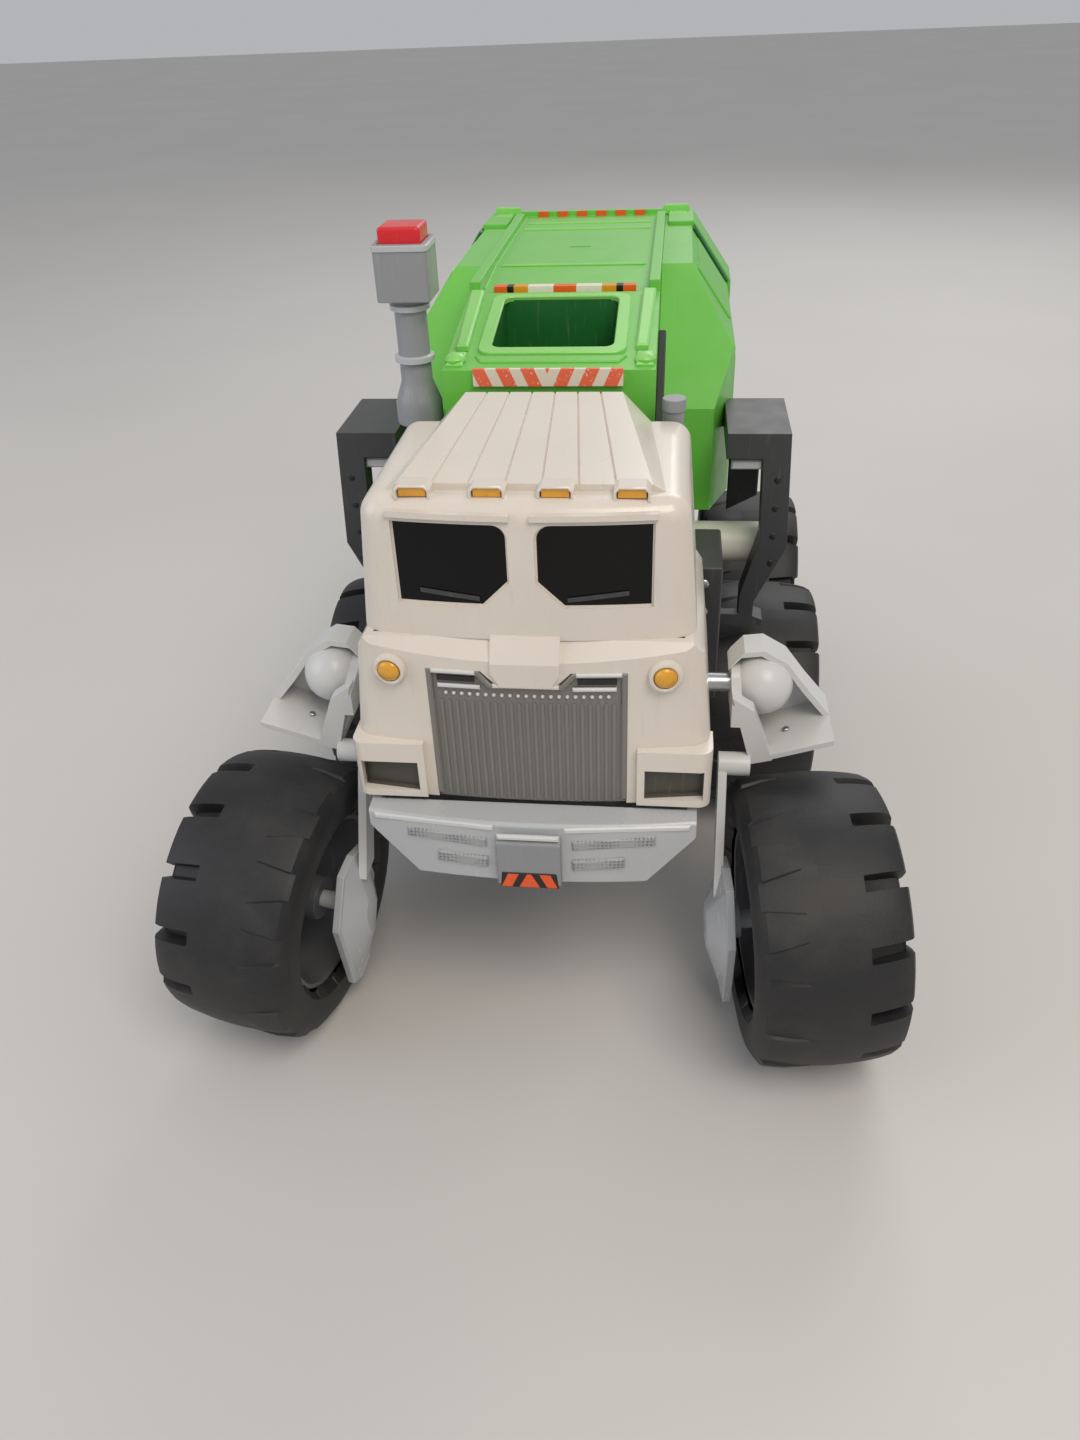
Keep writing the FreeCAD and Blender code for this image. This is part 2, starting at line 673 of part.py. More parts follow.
def hull_roof():
    """Middle of the roof behind the hopper, with two rails, a slot and an upturned rear lip."""
    front = HOPPER_BACK_Y + MOVING_GAP / 2
    low = HULL_TOP_Z - HULL_WALL
    dip_end = front + ROOF_DIP_L
    skin = prism_x([(front, HULL_TOP_Z - ROOF_DIP), (dip_end, HULL_TOP_Z), (HULL_REAR_Y, HULL_TOP_Z),
                    (HULL_REAR_Y, low), (dip_end, low), (front, low - ROOF_DIP)],
                   -SPINE_HALF, SPINE_HALF)
    rails = [box(x, x + RAIL_W, front, HULL_REAR_Y - 12, low, HULL_TOP_Z + RAIL_H)
             for x in (SPINE_HALF - RAIL_W, -SPINE_HALF)]
    lip = box(-SPINE_HALF, SPINE_HALF, HULL_REAR_Y - LIP_T, HULL_REAR_Y, HULL_TOP_Z, HULL_TOP_Z + LIP_H)
    width, length, depth = ROOF_SLOT
    slot_y = (front + HULL_REAR_Y) / 2
    slot = box(-width / 2, width / 2, slot_y, slot_y + length, HULL_TOP_Z - depth, HULL_TOP_Z + 1)
    return cut(fuse(skin, lip, *rails), slot)


def tail_markers():
    """Orange markers along the rear lip."""
    width, depth, height = MARKER_SIZE
    y = HULL_REAR_Y - LIP_T
    markers = []
    for index in range(MARKER_COUNT):
        x = (index - (MARKER_COUNT - 1) / 2) * MARKER_PITCH
        markers.append(box(x - width / 2, x + width / 2, y - depth, y, HULL_TOP_Z, HULL_TOP_Z + height))
    return Part.makeCompound(markers)


def hopper_top_z(y):
    """Height of the hopper's sloping top at station y."""
    share = (y - HOPPER_FRONT_Y) / (HOPPER_BACK_Y - HOPPER_FRONT_Y)
    return HOPPER_FRONT_Z + share * (HOPPER_BACK_Z - HOPPER_FRONT_Z)


def hopper_block(inset):
    front = HOPPER_FRONT_Y + inset
    back = HOPPER_BACK_Y - inset
    base = HOPPER_BASE_Z - (1 if inset else 0)
    outline = [(front, base), (back, base), (back, hopper_top_z(back) - inset),
               (front, hopper_top_z(front) - inset)]
    return prism_x(outline, -SPINE_HALF + inset, SPINE_HALF - inset)


def mouth_hole(grow, z0, z1):
    return box(-MOUTH_HALF - grow, MOUTH_HALF + grow, MOUTH_FRONT_Y - grow, MOUTH_BACK_Y + grow, z0, z1)


def hopper_housing():
    """Green housing with the loading mouth, open below and behind."""
    shell = hopper_block(0).cut(hopper_block(HULL_WALL))
    mouth = mouth_hole(CHUTE_WALL, HOPPER_BASE_Z, HULL_TOP_Z + 1)
    inside = SPINE_HALF - HULL_WALL
    back_door = box(-inside, inside, HOPPER_BACK_Y - 2 * HULL_WALL, HOPPER_BACK_Y + 1,
                    HOPPER_BASE_Z - 1, HOPPER_BACK_Z - 14)
    posts = [rod(vec(x, HOPPER_FRONT_Y + 7, HOPPER_FRONT_Z - 2), vec(x, HOPPER_FRONT_Y + 7,
                 hopper_top_z(HOPPER_FRONT_Y + 7) + 1.6), POST_R)
             for x in (SPINE_HALF - POST_R, POST_R - SPINE_HALF)]
    return cut(fuse(shell, *posts), mouth, back_door)


def hopper_liner():
    """Dark chute under the mouth."""
    low = HOPPER_FRONT_Z - CHUTE_DEPTH
    outer = mouth_hole(CHUTE_WALL, low, HULL_TOP_Z + 1)
    inner = mouth_hole(0, low - 1, HULL_TOP_Z + 2)
    top = prism_x([(HOPPER_FRONT_Y, low - 1), (HOPPER_BACK_Y, low - 1),
                   (HOPPER_BACK_Y, hopper_top_z(HOPPER_BACK_Y)),
                   (HOPPER_FRONT_Y, hopper_top_z(HOPPER_FRONT_Y))], -SPINE_HALF, SPINE_HALF)
    return outer.cut(inner).common(top)


def bin_floor():
    """Storage floor inside the hull; it slopes down from the hopper to the tailgate."""
    half = SPINE_HALF - HULL_WALL - 0.5
    front = HOPPER_FRONT_Y + HULL_WALL + 1
    base = HOPPER_BASE_Z + 1.0
    back = HULL_REAR_Y - 2.0
    outline = [(front, base + BIN_FRONT_RISE), (HULL_FRONT_Y, base), (back, base),
               (back, base + BIN_FLOOR_T), (HULL_FRONT_Y, base + BIN_FLOOR_T),
               (front, base + BIN_FRONT_RISE + BIN_FLOOR_T)]
    return prism_x(outline, -half, half)


def hazard_lip():
    """Striped strip on the hopper's front edge."""
    top = HOPPER_FRONT_Z + 1.0
    return box(-STRIPE_HALF, STRIPE_HALF, HOPPER_FRONT_Y - STRIPE_T, HOPPER_FRONT_Y,
               top - STRIPE_H, top)


def light_bar():
    width, length, height = LIGHT_BAR
    y = HOPPER_BACK_Y + 3.0
    bar = box(-width / 2, width / 2, y, y + length, HULL_TOP_Z - ROOF_DIP - 1,
              HULL_TOP_Z - ROOF_DIP + height)
    return bar.cut(hull_roof())


def side_struts():
    """Black struts that lie beside the hopper."""
    x0 = SPINE_HALF
    points = [(HOPPER_FRONT_Y, HOPPER_FRONT_Z - 36), (HOPPER_BACK_Y, HOPPER_BACK_Z - 8 - STRUT_H),
              (HOPPER_BACK_Y, HOPPER_BACK_Z - 8), (HOPPER_FRONT_Y, HOPPER_FRONT_Z - 36 + STRUT_H)]
    strut = prism_x(points, x0, x0 + STRUT_W)
    hull = box(0, HULL_HALF, HULL_FRONT_Y - 0.5, HULL_REAR_Y, HULL_LOW_Z, HULL_TOP_Z)
    return pair(strut.cut(hull))


def gate_hinge():
    return HULL_REAR_Y + GATE_GAP + GATE_HINGE_R, HULL_TOP_Z - 12.0


def tailgate():
    """Ribbed rear door, hung from its top edge."""
    y0 = HULL_REAR_Y + GATE_GAP
    hinge_y, hinge_z = gate_hinge()
    half = HULL_HALF - 4.0
    outline = symmetric([(ROOF_HALF - 4, hinge_z), (half, HULL_SHOULDER_Z - 2), (half, HULL_LOW_Z),
                         (TUB_HALF - 2, GATE_LOW_Z)])
    panel = prism_y(outline, y0, y0 + GATE_T)
    roll = cross_rod(-ROOF_HALF + 4, ROOF_HALF - 4, hinge_y, hinge_z, GATE_HINGE_R)
    ribs = []
    width, depth = GATE_RIB
    for index in range(GATE_RIB_COUNT):
        x = (index - (GATE_RIB_COUNT - 1) / 2) * 2 * (half - 14) / (GATE_RIB_COUNT - 1)
        ribs.append(box(x - width / 2, x + width / 2, y0 + GATE_T, y0 + GATE_T + depth,
                        HULL_LOW_Z + 6, HULL_SHOULDER_Z - 6))
    grip = box(-18, 18, y0 + GATE_T, y0 + GATE_T + 8, GATE_LOW_Z + 6, GATE_LOW_Z + 12)
    return fuse(panel, roll, grip, *ribs)


# ---- stack and stub -----------------------------------------------------------------------

def stack_pipe():
    base = vec(STACK_X, STACK_Y, PIPE_BASE_Z)
    pipe = rod(base, vec(STACK_X, STACK_Y, BOX_BASE_Z), PIPE_R)
    cone = Part.makeCone(COLLAR_R, PIPE_R, COLLAR_H, vec(STACK_X, STACK_Y, COLLAR_Z))
    skirt = rod(vec(STACK_X, STACK_Y, COLLAR_Z - COLLAR_H), vec(STACK_X, STACK_Y, COLLAR_Z), COLLAR_R)
    bore = rod(vec(STACK_X, STACK_Y, BOX_BASE_Z - 60), vec(STACK_X, STACK_Y, BOX_BASE_Z + 1), PIPE_BORE_R)
    return fuse(pipe, cone, skirt).cut(bore)


def stack_box():
    """Square box on the stack, open at the top for the button."""
    x, y, half = STACK_X, STACK_Y, BOX_HALF
    outer = box(x - half, x + half, y - half, y + half, BOX_BASE_Z, BOX_BASE_Z + BOX_H)
    uprights = [edge for edge in outer.Edges if abs(edge.tangentAt(edge.FirstParameter).z) > 0.9]
    outer = outer.makeFillet(2.0, uprights)
    well = half - BOX_WALL
    hollow = box(x - well, x + well, y - well, y + well, BOX_BASE_Z + BOX_FLOOR, BOX_BASE_Z + BOX_H + 1)
    return outer.cut(hollow)


def stack_button():
    half = BOX_HALF - BOX_WALL - BUTTON_GAP
    top = BOX_BASE_Z + BOX_H + BUTTON_RISE
    cap = box(STACK_X - half, STACK_X + half, STACK_Y - half, STACK_Y + half,
              top - BUTTON_RISE - BUTTON_DEPTH, top)
    upper = [edge for edge in cap.Edges if edge.CenterOfMass.z > top - BUTTON_RISE - BUTTON_DEPTH + 1]
    return cap.makeFillet(1.6, upper)


def stub_pipe():
    base = vec(STUB_X, STUB_Y, PIPE_BASE_Z)
    pipe = rod(base, vec(STUB_X, STUB_Y, STUB_TOP_Z), STUB_R)
    cap = rod(vec(STUB_X, STUB_Y, STUB_TOP_Z - 5), vec(STUB_X, STUB_Y, STUB_TOP_Z), STUB_R + 0.6)
    return fuse(pipe, cap)


# ---- cab ----------------------------------------------------------------------------------

def bowed_plan(half_front, half_back, front, back, z0, z1):
    """Plan outline whose front edge is a shallow arc, carried from z0 to z1."""
    left = vec(half_front, front + CAB_BOW, z0)
    right = vec(-half_front, front + CAB_BOW, z0)
    arc = Part.Arc(left, vec(0, front, z0), right).toShape()
    rest = [right, vec(-half_back, back, z0), vec(half_back, back, z0), left]
    edges = [arc] + [Part.makeLine(a, b) for a, b in zip(rest, rest[1:])]
    return Part.Face(Part.Wire(Part.__sortEdges__(edges))).extrude(vec(0, 0, z1 - z0))


def edges_where(shape, test):
    return [edge for edge in shape.Edges if test(edge)]


def lower_cab(inset):
    """Cab below the belt line, with a sloped ledge round its top."""
    low = DECK_Z - (1 if inset else 0)
    half_low = CAB_LOW_HALF - inset
    half_belt = BELT_HALF - inset
    section = symmetric([(half_belt - LEDGE_RUN, BELT_Z), (half_belt, BELT_Z - LEDGE_DROP),
                         (half_low, CAB_SILL_Z), (half_low, low)])
    front = CAB_FRONT_Y + inset
    back = CAB_BACK_Y + (1 if inset else 0)
    plan = bowed_plan(half_low + 1, half_low + 1, front, back, low, BELT_Z)
    block = prism_y(section, front, back).common(plan)
    ledge = prism_x([(front - 1, BELT_Z - LEDGE_DROP), (front, BELT_Z - LEDGE_DROP),
                     (front + LEDGE_RUN + CAB_BOW / 3, BELT_Z), (front + LEDGE_RUN, BELT_Z + 1),
                     (front - 1, BELT_Z + 1)], -half_low - 1, half_low + 1)
    block = block.cut(ledge)
    corners = edges_where(block, lambda e: front_corner(e, CAB_FRONT_Y + 20))
    return block.makeFillet(CORNER_R - inset, corners)


def front_corner(edge, limit_y):
    """True for the two upright edges where the front turns into the sides."""
    box_of = edge.BoundBox
    upright = box_of.ZLength > 10
    at_side = abs(edge.CenterOfMass.x) > ROOF_EDGE_HALF - 6
    return upright and at_side and edge.CenterOfMass.y < limit_y


def upper_cab(inset):
    """Cab above the belt line: windscreen frame and roof."""
    low = BELT_Z - (1 if inset else 0)
    top = CAB_TOP_Z - inset
    front = CAB_FRONT_Y + SCREEN_SETBACK + inset
    back = CAB_BACK_Y + (1 if inset else 0)
    half_low = UPPER_BELT_HALF - inset
    half_top = ROOF_EDGE_HALF - inset
    section = symmetric([(half_top, top), (half_low, low)])
    plan = bowed_plan(half_low + 1, half_low + 1, front, back, low, top)
    block = prism_y(section, front, back).common(plan)
    corners = edges_where(block, lambda e: front_corner(e, CAB_FRONT_Y + 20))
    block = block.makeFillet(CORNER_R - inset, corners)
    rims = edges_where(block, lambda e: e.BoundBox.ZMin > top - 1 and e.CenterOfMass.y < back - 1)
    return block.makeFillet(ROOF_R - inset, rims)


def window_prism(grow):
    """Left window, its lower inner corner cut and upper inner one rounded, carried through the front."""
    outline = [(WINDOW_IN - grow, WINDOW_TOP_Z + grow), (WINDOW_OUT + grow, WINDOW_TOP_Z + grow),
               (WINDOW_OUT + grow, WINDOW_LOW_Z - grow), (WINDOW_IN + WINDOW_CUT, WINDOW_LOW_Z - grow),
               (WINDOW_IN - grow, WINDOW_LOW_Z + WINDOW_CUT)]
    block = prism_y(outline, CAB_FRONT_Y - THROUGH, CAB_FRONT_Y + FRONT_DEPTH)
    corner = edges_where(block, lambda e: e.BoundBox.YLength > 1 and e.BoundBox.XMax < WINDOW_IN - grow + 1
                         and e.BoundBox.ZMin > WINDOW_TOP_Z + grow - 1)
    return block.makeFillet(WINDOW_CORNER_R + grow, corner)


def screen_skin(depth0, depth1):
    """Layer of the bowed windscreen between two depths behind its face."""
    front = CAB_FRONT_Y + SCREEN_SETBACK
    half = UPPER_BELT_HALF + 1
    outer = bowed_plan(half, half, front + depth0, CAB_BACK_Y, BELT_Z, CAB_TOP_Z)
    inner = bowed_plan(half, half, front + depth1, CAB_BACK_Y + 1, BELT_Z - 1, CAB_TOP_Z + 1)
    return outer.cut(inner)


def window_panes():
    pane = window_prism(-PANE_CLEARANCE)
    return pair(pane.common(screen_skin(PANE_SINK, PANE_SINK + PANE_T)))


def grille_outline(shrink):
    """Grille face with a notch for the nose at the middle of its top."""
    half = GRILLE_HALF - shrink
    top = GRILLE_TOP_Z - shrink
    notch = GRILLE_NOTCH_Z - shrink
    return symmetric([(GRILLE_NOTCH_HALF - 3 + shrink, notch), (GRILLE_NOTCH_HALF + 3 + shrink, top),
                      (half, top), (half, DECK_Z)])


def lower_skin(depth0, depth1):
    """Layer of the bowed lower front between two depths behind its face."""
    half = CAB_LOW_HALF + 1
    outer = bowed_plan(half, half, CAB_FRONT_Y + depth0, CAB_BACK_Y, DECK_Z - 1, BELT_Z)
    inner = bowed_plan(half, half, CAB_FRONT_Y + depth1, CAB_BACK_Y + 1, DECK_Z - 2, BELT_Z + 1)
    return outer.cut(inner)


def front_y_at(x):
    """Y of the bowed lower front at station x."""
    return CAB_FRONT_Y + CAB_BOW * (x / (CAB_LOW_HALF + 1)) ** 2


def cab_shell():
    """Moulded cab, open below and behind, on two bosses that turn on the shoulder shaft."""
    outer = fuse(lower_cab(0), upper_cab(0))
    body = cut(outer, lower_cab(CAB_WALL), upper_cab(CAB_WALL))
    extras = [cab_boss(CAB_LOW_HALF - CAB_WALL - CAB_BOSS_L, SHOULDER_Y, SHOULDER_Z, CAB_BOSS_R),
              cab_boss(JAW_LUG_X + JAW_LUG_T + MOVING_GAP, JAW_PIN_Y, JAW_PIN_Z, JAW_LUG_R)]
    extras += [mirrored(extra) for extra in extras]
    extras += cab_brows() + [cab_nose()] + lamp_rings()
    body = fuse(body, *extras)
    holes = [cross_rod(-CAB_LOW_HALF - 2, CAB_LOW_HALF + 2, SHOULDER_Y, SHOULDER_Z, SHOULDER_R + RUNNING_GAP),
             cross_rod(-CAB_LOW_HALF + PIN_END_WALL, CAB_LOW_HALF - PIN_END_WALL, JAW_PIN_Y, JAW_PIN_Z,
                       JAW_PIN_R)]
    for grow, depth in ((PANE_REBATE, PANE_SINK), (0, 2 * CAB_WALL)):
        opening = window_prism(grow).common(screen_skin(-THROUGH, depth))
        holes += [opening, mirrored(opening)]
    holes.append(prism_y(grille_outline(0), CAB_FRONT_Y - THROUGH, CAB_FRONT_Y + FRONT_DEPTH).common(
        lower_skin(-2, GRILLE_SINK)))
    for x in (LAMP_X, -LAMP_X):
        y = front_y_at(x)
        holes.append(rod(vec(x, y - LAMP_RING_T - 1, LAMP_Z), vec(x, y - LAMP_RING_T + LAMP_BORE_DEPTH,
                                                               LAMP_Z), LAMP_LENS_R))
    return cut(body, *holes)


def cab_boss(inner_x, y, z, radius):
    """Bearing boss inside the left wall, trimmed to the wall's outer face."""
    boss = cross_rod(inner_x, CAB_LOW_HALF + 2, y, z, radius)
    return boss.common(lower_cab(0))


def cab_brows():
    """Thin eyebrow ledge over each window."""
    brow = box(WINDOW_IN - 2, BROW_HALF, CAB_FRONT_Y - THROUGH, CAB_FRONT_Y + FRONT_DEPTH,
               BROW_Z, BROW_Z + BROW_H)
    brow = brow.common(screen_skin(-BROW_T, CAB_WALL / 2))
    return [brow, mirrored(brow)]


def cab_nose():
    """Raised plate that runs from the windscreen pillar down over the belt."""
    outline = symmetric([(NOSE_HALF, BELT_Z + 2), (NOSE_HALF, NOSE_LOW_Z + 8), (NOSE_TIP_HALF, NOSE_LOW_Z)])
    plate = prism_y(outline, CAB_FRONT_Y - NOSE_T, CAB_FRONT_Y + SCREEN_SETBACK + 2)
    face_y = CAB_FRONT_Y - NOSE_T
    slope = prism_x([(face_y - 1, BELT_Z - LEDGE_DROP), (face_y, BELT_Z - LEDGE_DROP),
                     (CAB_FRONT_Y + SCREEN_SETBACK, BELT_Z + 3), (face_y - 1, BELT_Z + 3)],
                    -NOSE_HALF - 1, NOSE_HALF + 1)
    return plate.cut(slope)


def lamp_rings():
    rings = []
    for x in (LAMP_X, -LAMP_X):
        y = front_y_at(x)
        rings.append(rod(vec(x, y - LAMP_RING_T, LAMP_Z), vec(x, y + CAB_WALL, LAMP_Z), LAMP_RING_R))
    return rings


def headlamp_lenses():
    lenses = []
    for x in (LAMP_X, -LAMP_X):
        y = front_y_at(x) - LAMP_RING_T
        lens = rod(vec(x, y + 0.4, LAMP_Z), vec(x, y + LAMP_BORE_DEPTH, LAMP_Z), LAMP_LENS_R)
        lenses.append(lens)
    return Part.makeCompound(lenses)


def grille():
    """Ribbed grille that fills the pocket in the cab's front."""
    plate = prism_y(grille_outline(0.1), CAB_FRONT_Y - THROUGH, CAB_FRONT_Y + FRONT_DEPTH)
    base = plate.common(lower_skin(GRILLE_SINK - GRILLE_T + GRILLE_RIB_T, GRILLE_SINK))
    ribs = []
    pitch = 2 * (GRILLE_HALF - 2) / GRILLE_RIBS
    face = plate.common(lower_skin(GRILLE_SINK - GRILLE_T, GRILLE_SINK - GRILLE_T + GRILLE_RIB_T + 0.2))
    for index in range(GRILLE_RIBS + 1):
        x = -GRILLE_HALF + 2 + index * pitch
        strip = box(x - GRILLE_RIB_W / 2, x + GRILLE_RIB_W / 2, CAB_FRONT_Y - THROUGH,
                    CAB_FRONT_Y + FRONT_DEPTH, DECK_Z + 1, GRILLE_NOTCH_Z - 8)
        ribs.append(strip.common(face))
    return fuse(base, *ribs)


def corner_vents():
    """Boxed vent surround at each lower front corner of the cab."""
    front = front_y_at(VENT_IN) - VENT_FRONT
    frame = box(VENT_IN, VENT_OUT, front, front + VENT_DEPTH, VENT_LOW_Z, VENT_TOP_Z)
    outer_edge = edges_where(frame, lambda e: e.BoundBox.ZLength > 10 and e.CenterOfMass.y < front + 1
                                 and e.CenterOfMass.x > VENT_OUT - 1)
    frame = frame.makeFillet(5.0, outer_edge)
    slot = box(VENT_IN + VENT_RIM, VENT_OUT - VENT_RIM, front - 1, front + VENT_SLOT_DEPTH,
               VENT_LOW_Z + VENT_RIM, VENT_LOW_Z + VENT_RIM + VENT_SLOT_H)
    frame = frame.cut(lower_cab(0))
    return pair(frame.cut(slot))


def roof_lamps():
    width, length, height = ROOF_LAMP
    y = CAB_FRONT_Y + SCREEN_SETBACK + ROOF_LAMP_BACK
    lamps = []
    for x in ROOF_LAMP_XS:
        lamp = box(x - width / 2, x + width / 2, y, y + length, CAB_TOP_Z, CAB_TOP_Z + height)
        lamps += [lamp, mirrored(lamp)]
    return Part.makeCompound(lamps)


def wipers():
    """Wiper blade along the foot of each window."""
    y = CAB_FRONT_Y + SCREEN_SETBACK + PANE_SINK
    low = WINDOW_LOW_Z + 1.5
    blade = prism_y([(16, low), (16 + WIPER_L, low + 2.5), (16 + WIPER_L, low + 2.5 + WIPER_W),
                     (16, low + WIPER_W)], CAB_FRONT_Y - THROUGH, CAB_FRONT_Y + FRONT_DEPTH)
    return pair(blade.common(screen_skin(PANE_SINK - WIPER_T, PANE_SINK)))


def deflector_section(y, base_half, top_half, height):
    """Deflector's cross-section at station y: sloped sides and shallow grooves between ribs."""
    z = CAB_TOP_Z
    points = [(-base_half, z)]
    pitch = 2 * top_half / DEFLECTOR_RIBS
    for index in range(DEFLECTOR_RIBS):
        x = -top_half + index * pitch
        points += [(x + 0.5, z + height), (x + pitch - 0.5, z + height)]
        if index < DEFLECTOR_RIBS - 1:
            points.append((x + pitch, z + height - DEFLECTOR_GROOVE))
    points.append((base_half, z))
    return Part.makePolygon([vec(x, y, h) for x, h in points + [points[0]]])


def roof_deflector():
    front = CAB_FRONT_Y + SCREEN_SETBACK + DEFLECTOR_FRONT + ROOF_LAMP[1]
    sections = [deflector_section(front, DEFLECTOR_BASE_FRONT, DEFLECTOR_TOP_FRONT, DEFLECTOR_H_FRONT),
                deflector_section(CAB_BACK_Y, DEFLECTOR_BASE_BACK, DEFLECTOR_TOP_BACK, DEFLECTOR_H_BACK)]
    return Part.makeLoft(sections, True, True)


def jaw_pins():
    """Short pin on each side, from the cab's boss through the jaw's lug."""
    return pair(cross_rod(JAW_LUG_X, CAB_LOW_HALF - PIN_END_WALL, JAW_PIN_Y, JAW_PIN_Z, JAW_PIN_R))


# ---- jaw ----------------------------------------------------------------------------------

def jaw_block(inset):
    top = DECK_Z - JAW_GAP + (1 if inset else 0)
    low = DECK_Z - JAW_DROP + inset
    front = CAB_FRONT_Y - JAW_FRONT + inset
    back = front + JAW_DEPTH - inset + (1 if inset else 0)
    half_top = JAW_TOP_HALF - inset
    half_low = JAW_LOW_HALF - inset
    section = symmetric([(half_top, top), (half_top, top - JAW_LIP_H), (half_low, low)])
    plan = bowed_plan(half_top + 0.5, half_top + 0.5, front, back, low, top)
    return prism_y(section, front, back).common(plan)


def bumper():
    """Jaw: a scoop-shaped bumper with a ledge along its front, on two lugs that turn on the jaw pins."""
    shell = jaw_block(0).cut(jaw_block(JAW_WALL))
    front = CAB_FRONT_Y - JAW_FRONT
    top = DECK_Z - JAW_GAP
    outer = shell.makeChamfer(JAW_EDGE_CUT, edges_where(
        shell, lambda e: e.BoundBox.ZLength < 0.1 and e.CenterOfMass.y < front + JAW_WALL - 1))
    ledge = jaw_block(JAW_EDGE_CUT).common(box(-JAW_TOP_HALF, JAW_TOP_HALF, front, front + JAW_LEDGE,
                                               top - JAW_LEDGE_T, top))
    lugs = [ledge]
    for x in (JAW_LUG_X, -JAW_LUG_X - JAW_LUG_T):
        eye = cross_rod(x, x + JAW_LUG_T, JAW_PIN_Y, JAW_PIN_Z, JAW_LUG_R)
        stem = box(x, x + JAW_LUG_T, JAW_PIN_Y - JAW_LUG_R - 24, JAW_PIN_Y + JAW_LUG_R - 4,
                   DECK_Z - JAW_GAP - JAW_LIP_H, JAW_PIN_Z)
        lugs += [eye, stem]
    bore = cross_rod(-CAB_LOW_HALF, CAB_LOW_HALF, JAW_PIN_Y, JAW_PIN_Z, JAW_PIN_R + RUNNING_GAP)
    return fuse(outer, *lugs).cut(bore)


def bumper_block():
    """Centre block of the bumper, with a sloped sign panel at its foot."""
    front = CAB_FRONT_Y - JAW_FRONT
    top = DECK_Z - JAW_GAP - 3.0
    low = DECK_Z - JAW_DROP + 1.0
    block = prism_x([(front - BLOCK_T, top - 4), (front + 3, top), (front + 3, low),
                     (front - BLOCK_T + 1.5, low), (front - BLOCK_T, low + 1.5)], -BLOCK_HALF, BLOCK_HALF)
    return block.cut(jaw_block(0))


# ---- arms ---------------------------------------------------------------------------------

def fender():
    """Left shoulder armour: arched rim over the shoulder ball, its floor, front bar and back web."""
    front = SHOULDER_Y - FENDER_FRONT
    back = SHOULDER_Y + FENDER_BACK
    floor_z = SHOULDER_Z - FENDER_FLOOR_DROP
    tip_z = SHOULDER_Z - FENDER_TIP_DROP
    top = SHOULDER_Z + FENDER_TOP_RISE
    rim_out = [(BALL_X + along, top - drop) for along, drop in ARCH_POINTS] + [(FENDER_TIP_X, tip_z)]
    rim_in = [(x - FENDER_T / 2, z - FENDER_T) for x, z in reversed(rim_out)]
    arch = prism_y(rim_out + rim_in, SHOULDER_Y - ARCH_FRONT, back)
    floor = prism_y([(FENDER_CORNER_X, floor_z), (FENDER_TIP_X, tip_z), (FENDER_TIP_X, tip_z - FENDER_T),
                     (FENDER_CORNER_X, floor_z - FENDER_T)], front, back)
    bar = prism_y([(FENDER_IN_X, SHOULDER_Z + 6), (FENDER_IN_X + BAR_W, SHOULDER_Z),
                   (FENDER_CORNER_X + BAR_W, floor_z), (FENDER_CORNER_X, floor_z - FENDER_T)],
                  front, front + BAR_T)
    stay = prism_x([(front, SHOULDER_Z - 8), (front, SHOULDER_Z + 2), (SHOULDER_Y, SHOULDER_Z + 8),
                    (SHOULDER_Y, SHOULDER_Z - 8)], FENDER_IN_X, FENDER_IN_X + 4)
    ball = Part.makeSphere(BALL_R, vec(BALL_X, SHOULDER_Y, SHOULDER_Z), vec(1, 0, 0))
    neck = cross_rod(FENDER_IN_X, BALL_X, SHOULDER_Y, SHOULDER_Z, BALL_R - 4)
    bore = cross_rod(FENDER_IN_X - 5, SHOULDER_REACH + MOVING_GAP, SHOULDER_Y, SHOULDER_Z,
                     SHOULDER_R + RUNNING_GAP)
    web = prism_y([(FENDER_IN_X + 3, top - 8), (BALL_X, top - 2), (BALL_X + 17, top - 19),
                   (FENDER_TIP_X - 3, tip_z - 1), (FENDER_CORNER_X, floor_z - 1)], back - FENDER_T, back)
    return fuse(arch, floor, bar, stay, ball, neck, web).cut(bore)


def arm_link(side):
    """Thin bar from the shoulder armour down to the hub plate."""
    top_y = FRONT_Y + 22
    top_z = SHOULDER_Z - FENDER_FLOOR_DROP - 4
    cap = cross_rod(LINK_X, FENDER_CORNER_X, top_y, top_z + 1, LINK_CAP_R)
    outline = [(top_y - LINK_W / 2, top_z), (top_y + LINK_W / 2, top_z), (FRONT_Y + 6, TYRE_R + 16),
               (FRONT_Y - 8, TYRE_R + 16)]
    bar = prism_x(outline, LINK_X, LINK_X + LINK_T)
    link = cut(fuse(bar, cap), fender())
    if side < 0:
        link = mirrored(link)
    return link.cut(hub_plate(side))


def plate_outline(scale, x):
    """Long hexagon of the hub plate, scaled about the axle."""
    half = [(0, PLATE_TOP), (11, PLATE_TOP - 3), (PLATE_HALF_W, 2), (9, PLATE_LOW + 4), (0, PLATE_LOW)]
    loop = half + [(-y, z) for y, z in reversed(half[1:-1])]
    return [vec(x, y * scale, z * scale) for y, z in loop]


def hub_plate_local():
    """Faceted plate in the wheel's own frame, with the axle pin and its ball boss."""
    x = -PLATE_BACK
    plate = prism(plate_outline(1.0, x), vec(-PLATE_T, 0, 0))
    loops = [plate_outline(0.9, x - PLATE_T), plate_outline(0.3, x - PLATE_T - PLATE_FACET)]
    facets = Part.makeLoft([Part.makePolygon(loop + [loop[0]]) for loop in loops], True, True)
    boss = cross_rod(x, x + PIN_BALL_R / 2, 0, 0, PIN_BALL_R)
    pin = cross_rod(x, AXLE_END, 0, 0, AXLE_R)
    return fuse(plate, facets, boss, pin)


def hub_plate(side):
    return at_front_wheel(hub_plate_local(), side)


